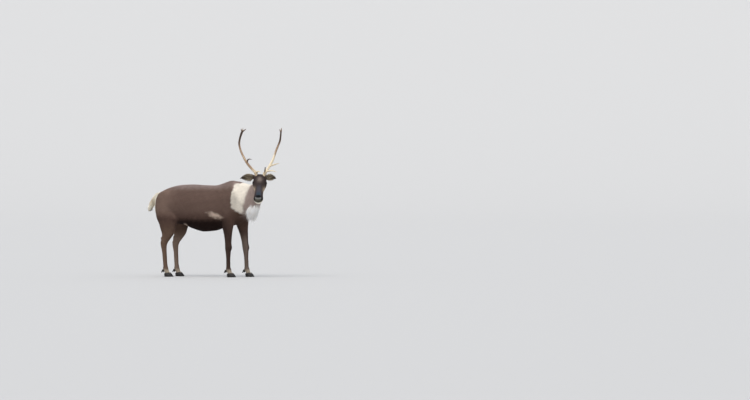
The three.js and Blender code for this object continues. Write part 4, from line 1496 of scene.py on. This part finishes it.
class Field:
    """A shader socket that plain arithmetic can be written with."""

    def __init__(self, tree, socket):
        self.tree, self.socket = tree, socket

    def math(self, operation, *values):
        node = self.tree.nodes.new("ShaderNodeMath")
        node.operation = operation
        for slot, value in zip(node.inputs, values):
            plug(self.tree, slot, value)
        return Field(self.tree, node.outputs[0])

    def step(self, low, high):
        """0 to 1 between low and high, smoothly."""
        inputs = {"Value": self, "From Min": low, "From Max": high}
        settings = {"interpolation_type": "SMOOTHSTEP"}
        return Material.of(self.tree).node("ShaderNodeMapRange", settings, inputs)


def arithmetic(operation):
    """Operator of two fields or values, and its reflected form."""

    def forward(self, other):
        return self.math(operation, self, other)

    def reflected(self, other):
        return self.math(operation, other, self)

    return forward, reflected


OPERATORS = {"add": "ADD", "sub": "SUBTRACT", "mul": "MULTIPLY", "truediv": "DIVIDE", "pow": "POWER"}
for word, operation in OPERATORS.items():
    forward, reflected = arithmetic(operation)
    setattr(Field, f"__{word}__", forward)
    setattr(Field, f"__r{word}__", reflected)


def plug(tree, slot, value):
    """Sets a socket to a value or links a field to it."""
    if isinstance(value, Field):
        tree.links.new(value.socket, slot)
    else:
        slot.default_value = value


class Material:
    """A material with one principled shader, built from fields."""

    def __init__(self, name, roughness=0.6):
        self.data = bpy.data.materials.new(name)
        self.data.use_nodes = True
        self.tree = self.data.node_tree
        self.shader = self.tree.nodes["Principled BSDF"]
        self.set("Roughness", roughness)

    @classmethod
    def of(cls, tree):
        """Node maker for a tree that already stands."""
        maker = cls.__new__(cls)
        maker.tree = tree
        return maker

    def set(self, slot, value):
        """Plugs a value or field into the principled shader."""
        plug(self.tree, self.shader.inputs[slot], value)

    def node(self, kind, settings=None, inputs=None, output=0):
        """A node of any kind: its settings first, then its inputs by name, as a field."""
        node = self.tree.nodes.new(kind)
        for key, value in (settings or {}).items():
            setattr(node, key, value)
        for key, value in (inputs or {}).items():
            plug(self.tree, node.inputs[key], value)
        return Field(self.tree, node.outputs[output])

    def attribute(self, name, output="Color"):
        """A mesh attribute."""
        return self.node("ShaderNodeAttribute", {"attribute_name": name}, output=output)

    def parts(self, vector):
        """X, Y and Z of a vector."""
        node = self.tree.nodes.new("ShaderNodeSeparateXYZ")
        plug(self.tree, node.inputs[0], vector)
        return [Field(self.tree, out) for out in node.outputs]

    def joined(self, x, y, z):
        """Vector of three fields or values."""
        return self.node("ShaderNodeCombineXYZ", None, {"X": x, "Y": y, "Z": z})

    def place(self):
        """Object coordinates."""
        return self.node("ShaderNodeTexCoord", output="Object")

    def noise(self, vector, scale, detail=2.0, rough=0.5):
        """Noise value about a half."""
        inputs = {"Vector": vector, "Scale": scale, "Detail": detail, "Roughness": rough}
        return self.node("ShaderNodeTexNoise", None, inputs)

    def scaled(self, colour, factor):
        """Colour times a number."""
        node = self.tree.nodes.new("ShaderNodeVectorMath")
        node.operation = "SCALE"
        plug(self.tree, node.inputs[0], colour)
        plug(self.tree, node.inputs["Scale"], factor)
        return Field(self.tree, node.outputs[0])

    def mix(self, amount, first, second):
        """Colour between two."""
        node = self.tree.nodes.new("ShaderNodeMix")
        node.data_type = "RGBA"
        plug(self.tree, node.inputs["Factor"], amount)
        for slot, value in (("A", first), ("B", second)):
            socket = [s for s in node.inputs if s.name == slot and s.type == "RGBA"][0]
            plug(self.tree, socket, value if isinstance(value, Field) else (*value, 1.0))
        return Field(self.tree, [s for s in node.outputs if s.type == "RGBA"][0])

    def bump(self, height, strength, distance):
        """Normal bumped by a height."""
        inputs = {"Height": height, "Strength": strength, "Distance": distance}
        self.set("Normal", self.node("ShaderNodeBump", None, inputs))


def coat_material():
    """Hair: the coat's own colour, darker at the root, with fine streaks along each tuft."""
    m = Material("coat_hair", 0.75)
    m.set("Specular IOR Level", 0.12)
    strand = m.attribute("strand", "Vector")
    across, along, lock = m.parts(strand)
    streak = m.noise(m.joined(across * 4.0, along * 1.2, lock * 60.0), 1.6, 3.0)
    shade = (0.9 + 0.2 * along) * (0.84 + 0.32 * lock) * (0.82 + 0.36 * streak)
    m.set("Base Color", m.scaled(m.attribute("coat"), shade))
    m.bump(streak, 0.5, 0.002)
    return m.data


def skin_material():
    """Short underfur: the coat's colour with a fine grain, a little lighter on average as painted light
    against the shadow between tufts.
    """
    m = Material("skin_underfur", 0.8)
    m.set("Specular IOR Level", 0.1)
    grain = m.noise(m.place(), 420.0, 3.0)
    # Factor about 1.05 on average: painted light that offsets the shadow between the tufts
    m.set("Base Color", m.scaled(m.attribute("coat"), 0.8 + 0.5 * grain))
    m.bump(grain, 0.4, 0.002)
    return m.data


def horn_material():
    """Dark hoof horn with faint growth rings."""
    m = Material("hoof_horn", 0.45)
    m.set("Specular IOR Level", 0.3)
    _, _, z = m.parts(m.place())
    rings = m.noise(m.joined(0.0, 0.0, z * 260.0), 1.0, 2.0)
    grain = m.noise(m.place(), 60.0, 3.0)
    dark, worn = (tuple(linear(c)) for c in HORN_COLOURS)
    m.set("Base Color", m.mix((rings * 0.5 + grain * 0.5).step(0.42, 0.75), dark, worn))
    m.bump(rings, 0.35, 0.0015)
    return m.data


def antler_material():
    """Bone turning brown with its tone, browner on faces turned down as painted shade, with long streaks down
    the furrows and fine pores.
    """
    m = Material("antler_bone", 0.5)
    x, y, along = m.parts(m.attribute("strand", "Vector"))
    tone, _, _ = m.parts(m.attribute("coat"))
    streak = m.noise(m.joined(x * 2.2, y * 2.2, along * 9.0), 1.0, 4.0, 0.6)
    fine = m.noise(m.place(), 240.0, 3.0)
    tone = tone + (streak - 0.5) * 0.8 + (fine - 0.5) * 0.2
    bone, tan, dark = (tuple(linear(c)) for c in BONE_COLOURS)
    shade = m.mix(tone.step(0.12, 0.6), bone, tan)
    m.set("Base Color", m.mix(tone.step(0.55, 1.0), shade, dark))
    m.bump(streak * 0.6 + fine * 0.4, 0.35, 0.002)
    return m.data


def eye_material():
    """Dark brown eye with a level bar of pupil and a wet gloss."""
    m = Material("eye_wet", 0.08)
    m.set("Specular IOR Level", 0.05)
    m.set("Coat Weight", 0.25)
    m.set("Coat Roughness", 0.02)
    fore, up, _ = m.parts(m.attribute("strand", "Vector"))
    spread = (fore * fore + up * up) ** 0.5
    bar = ((fore / 0.42) ** 2.0 + (up / 0.2) ** 2.0).step(0.75, 1.1)
    iris, rim, pupil = (tuple(linear(c)) for c in EYE_COLOURS)
    ring = m.mix(spread.step(0.55, 0.72), iris, rim)
    m.set("Base Color", m.mix(bar, pupil, ring))
    return m.data


def plain_material(name, colour, roughness):
    """One colour all over."""
    m = Material(name, roughness)
    m.set("Base Color", (*linear(colour), 1.0))
    return m.data


def build_eye(side, material):
    """Eyeball as rings about its look, radius R(1 + 0.05 exp(-(angle/26°)²)) for the cornea."""
    look, fore, up = eye_axes(side)
    angle = np.linspace(0.02, math.pi - 0.02, 40)
    radius = EYE_RADIUS * (0.985 + 0.05 * bump(np.degrees(angle), 26))
    centre = np.array([EYE_PLACE[0], side * EYE_PLACE[1], EYE_PLACE[2]])
    middle = centre + (radius * np.cos(angle))[:, None] * look
    wide = radius * np.sin(angle)
    rings = section_rings(middle, fore, up, wide, wide, wide, 48)
    points, faces = loft(rings)
    local = (points - centre) / EYE_RADIUS
    name = "eyeball_left" if side > 0 else "eyeball_right"
    obj = new_object(name, to_frame(head_point(points)), faces, material)
    strand = np.stack([dot(local, fore), dot(local, up), dot(local, look)], -1)
    add_attributes(obj.data, np.zeros((len(points), 3)), strand)
    return obj


def beam_point(beam, place):
    """Head-frame point of a beam at a station place."""
    return np.array([between(beam[key], place) for key in ("along", "side", "high")])


def antler_parts(beam, brown, tines):
    """Path, half widths, thicknesses, side way and tone of the beam with its burr and of each tine."""
    t = resample(beam, BEAM_RINGS)
    share = np.linspace(0, 1, BEAM_RINGS)
    swell, middle, reach = BURR
    grow = (1 + swell * bump(share - middle, reach)) * (1 + 0.03 * np.sin(share * 70) * (1 - share))
    top = len(brown) - 1
    tones = between(brown, share * top)
    parts = [(stack(t["along"], t["side"], t["high"]), t["half"] * grow, t["thick"] * grow, PALM_WAY, tones)]
    for start, tip, bend, half, thick, dark in tines:
        s = np.linspace(0, 1, TINE_RINGS)
        root = beam_point(beam, start)
        line = root + (np.array(tip) - root) * s[:, None] + np.array(bend) * (4 * s * (1 - s))[:, None]
        taper = 1 - 0.8 * s**1.6
        tone = between(brown, start) + (dark - between(brown, start)) * smooth(s, 0.1, 0.5)
        parts.append((line, half * taper, thick * taper, TINE_WAY if start < top else PALM_WAY, tone))
    return parts


def path_frames(parts):
    """Points, tangents, side ways, tones and running lengths of all paths of an antler together."""
    rows = []
    for path, _, _, way, tone in parts:
        tangent = unit(np.gradient(path, axis=0))
        side = unit(way - tangent * dot(tangent, np.array(way))[:, None])
        run = np.append(0, np.cumsum(np.linalg.norm(np.diff(path, axis=0), axis=1)))
        rows.append((path, tangent, side, tone, run))
    return [np.concatenate(column) for column in zip(*rows)]


def build_antler(label, beam, brown, tines, material):
    """One antler with its tines joined, furrowed along its length and pearled near the burr."""
    parts = antler_parts(beam, brown, tines)
    points, faces = merge([loft(sweep_rings(*part[:4], ANTLER_CORNERS)) for part in parts])
    obj = new_object("antler_" + label, to_frame(head_point(points)), faces, material)
    voxel_join(obj, ANTLER_VOXEL, ANTLER_SMOOTH)
    place = head_place(to_body(read_mesh(obj.data)))
    path, tangent, side, tone, run = path_frames(parts)
    nearest = np.argmin(np.linalg.norm(place[:, None] - path[None], axis=2), axis=1)
    v = place - path[nearest]
    up = np.cross(tangent, side)[nearest]
    angle = np.arctan2(dot(v, up), dot(v, side[nearest]))
    along = run[nearest] + dot(v, tangent[nearest])
    rim = np.stack([np.cos(angle), np.sin(angle), along * 0.004], -1)
    furrow = ripple(rim, 1.1, 8)
    pearls = ripple(place, 13, 9) * (1 - smooth(np.linalg.norm(place - path[0], axis=1), *PEARL_END))
    normal = vertex_normals(obj.data)
    shift = FURROW_HEIGHT * furrow + PEARL_HEIGHT * pearls
    write_mesh(obj.data, read_mesh(obj.data) + normal * (shift * MM)[:, None])
    # Tone: each station's brown, paler on furrow ridges, and browner on faces turned down as painted shade
    shade = tone[nearest] - 0.22 * furrow + 0.16 * smooth(-normal[:, 2], 0.0, 0.8)
    add_attributes(obj.data, np.repeat(shade[:, None], 3, axis=1), rim)
    return obj


def coronet_height(leg, x):
    """Height of the line between hair and horn at a place along the foot."""
    return CORONET_HEIGHT + CORONET_SLOPE * (x - leg_centre(leg, CORONET_HEIGHT)[0])


def toe_shape(leg, toe_side):
    """One toe as level rings, its top sheared to the coronet and its sole flat."""
    foot = leg_centre(leg, CORONET_HEIGHT)
    t = resample(TOE, 26, 0.94)
    splay = math.radians(TOE_SPLAY * toe_side)
    ahead = np.array([math.cos(splay), math.sin(splay), 0])
    side = np.array([-math.sin(splay), math.cos(splay), 0])
    start = np.array([foot[0] + TOE_AHEAD, foot[1] + toe_side * TOE_SPREAD, 0])
    centre = start + ahead * t["x"][:, None] + np.array([0, 0, 1]) * t["z"][:, None]
    length = t["length"]
    rings = section_rings(centre, side, ahead, t["width"], length, length * TOE_HEEL, 36, TOE_POWERS)
    top = coronet_height(leg, rings[..., 0]) - 0.2
    rings[..., 2] *= np.minimum(1, top / max(t["z"][-1], 1))
    rings[..., 2] = np.maximum(rings[..., 2], 0)
    return loft(rings)


def dewclaw_shape(leg, claw_side):
    """Small horn cone behind the fetlock."""
    start = leg_centre(leg, DEWCLAW["height"]) + [-DEWCLAW["behind"], claw_side * DEWCLAW["spread"], 0]
    reach = np.array([DEWCLAW["reach"][0], claw_side * DEWCLAW["reach"][1], DEWCLAW["reach"][2]])
    s = np.linspace(0, 1, 12)
    radius = between(DEWCLAW["radius"], s * 3)
    return loft(sweep_rings(start + reach * s[:, None], radius, radius * 0.8, [0, 1, 0], 16))


def build_hooves(material):
    """Two toes and two dewclaws on each foot, each its own piece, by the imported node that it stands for."""
    pieces = {}
    for name, leg in LEGS.items():
        for label, side in (("outer", leg["side"]), ("inner", -leg["side"])):
            for kind, shape in (("hoof", toe_shape), ("dewclaw", dewclaw_shape)):
                points, faces = shape(leg, side)
                node = f"{name}_{kind}_{label}"
                pieces[node] = new_object("horn_" + node, to_frame(points), faces, material)
    return pieces


def show_piece(obj, slot, *nodes):
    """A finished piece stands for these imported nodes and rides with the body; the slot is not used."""
    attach(obj, "root")
    if nodes:
        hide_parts(*nodes)


def coat_slot(name):
    """Material slot of a coat piece."""
    slots = {"neck": "pale_coat", "tail": "white_coat", "trunk": "brown_coat"}
    return next((slot for word, slot in slots.items() if word in name), "dark_coat")


def flesh_nodes():
    """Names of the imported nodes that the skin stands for."""
    horn = ("antler", "eye", "hoof", "dewclaw")
    return [name for name in frame["nodes"] if not any(word in name for word in horn)]


def build_animal():
    """Every piece of the animal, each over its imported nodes."""
    skin = build_skin()
    points = to_body(read_mesh(skin.data))
    normal = vertex_normals(skin.data)
    shares, _ = weigh(points)
    add_attributes(skin.data, coat_colour(points, normal, shares), np.zeros((len(points), 3)))
    skin.data.materials.clear()
    skin.data.materials.append(skin_material())
    show_piece(skin, "brown_coat", *flesh_nodes())
    for piece in build_coat(skin, coat_material()):
        show_piece(piece, coat_slot(piece.name))
    wet = eye_material()
    for side, name in ((1, "eye_left"), (-1, "eye_right")):
        show_piece(build_eye(side, wet), "eye", name)
    bone = antler_material()
    antlers = {"left": (LEFT_BEAM, LEFT_BROWN, LEFT_TINES), "right": (RIGHT_BEAM, RIGHT_BROWN, RIGHT_TINES)}
    for label, tables in antlers.items():
        nodes = [name for name in frame["nodes"] if name.startswith("antler_" + label)]
        show_piece(build_antler(label, *tables, bone), "antler", *nodes)
    for node, piece in build_hooves(horn_material()).items():
        show_piece(piece, "hoof_horn", node)


def picture_axes():
    """Rightward and toward-the-camera ways of the picture."""
    turn = math.radians(CAMERA_TURN)
    right = np.array([math.cos(turn), math.sin(turn), 0])
    return right, np.array([math.sin(turn), -math.cos(turn), 0])


def put(name, data, way, place=(0, 0, 0)):
    """Object at a place whose own Z points along a way and whose X is level."""
    z = unit(way)
    x = unit(np.cross([0, 0, 1], z))
    matrix = np.eye(4)
    matrix[:3, :3] = np.stack([x, np.cross(z, x), z], 1)
    matrix[:3, 3] = place
    obj = bpy.data.objects.new(name, data)
    obj.matrix_world = Matrix(matrix)
    bpy.context.scene.collection.objects.link(obj)
    return obj


def add_camera():
    """Camera that puts the body's origin at its pixel of the photo at the photo's scale."""
    right, back = picture_axes()
    field = math.radians(CAMERA_FIELD)
    distance = PICTURE_WIDTH / 2 * METRES_PER_PIXEL / math.tan(field / 2)
    rise = math.radians(CAMERA_RISE)
    over = (PICTURE_CENTRE[0] - BODY_PIXEL[0]) * METRES_PER_PIXEL
    high = (BODY_PIXEL[1] - PICTURE_CENTRE[1]) * METRES_PER_PIXEL
    target = SHIFT + right * over + np.array([0, 0, high])
    eye = SHIFT + back * distance * math.cos(rise) + np.array([0, 0, high + distance * math.sin(rise)])
    data = bpy.data.cameras.new("camera")
    data.sensor_width = SENSOR_WIDTH
    data.lens = SENSOR_WIDTH / 2 / math.tan(field / 2)
    data.clip_end = 2000
    bpy.context.scene.camera = put("camera", data, eye - target, eye)


def add_sun(name, way, angle, strength, colour):
    """Soft distant light that shines from a way."""
    data = bpy.data.lights.new(name, "SUN")
    data.angle = math.radians(angle)
    data.energy = strength
    data.color = colour
    put(name, data, way)


def add_stage():
    """Pale floor that curves up far off into a wall all round, soft dome and two soft lights."""
    material = plain_material("floor_pale", FLOOR_COLOUR, 0.9)
    reach = np.array([4.0, 20.0, *np.linspace(FLOOR_FLAT, FLOOR_REACH, 40)])
    height = WALL_HEIGHT * smooth(reach, FLOOR_FLAT, FLOOR_REACH * 1.3)
    angle = np.arange(96) * 2 * math.pi / 96
    rings = stack(reach[:, None] * np.cos(angle), reach[:, None] * np.sin(angle), height[:, None])
    points, faces = loft(rings)
    bowl = faces[(faces != len(points) - 1).all(1)]
    floor = new_object("floor", points[:-1], bowl[:, ::-1], material)
    world = bpy.data.worlds.new("dome")
    world.use_nodes = True
    dome = world.node_tree.nodes["Background"]
    dome.inputs["Color"].default_value = (*DOME_COLOUR, 1)
    dome.inputs["Strength"].default_value = DOME_STRENGTH
    bpy.context.scene.world = world
    right, back = picture_axes()
    for name, ((near, aside, above), *light) in LIGHTS.items():
        add_sun(name, back * near + right * aside + np.array([0, 0, above]), *light)
    bpy.context.scene.view_settings.view_transform = "Standard"


build_animal()
add_stage()
add_camera()
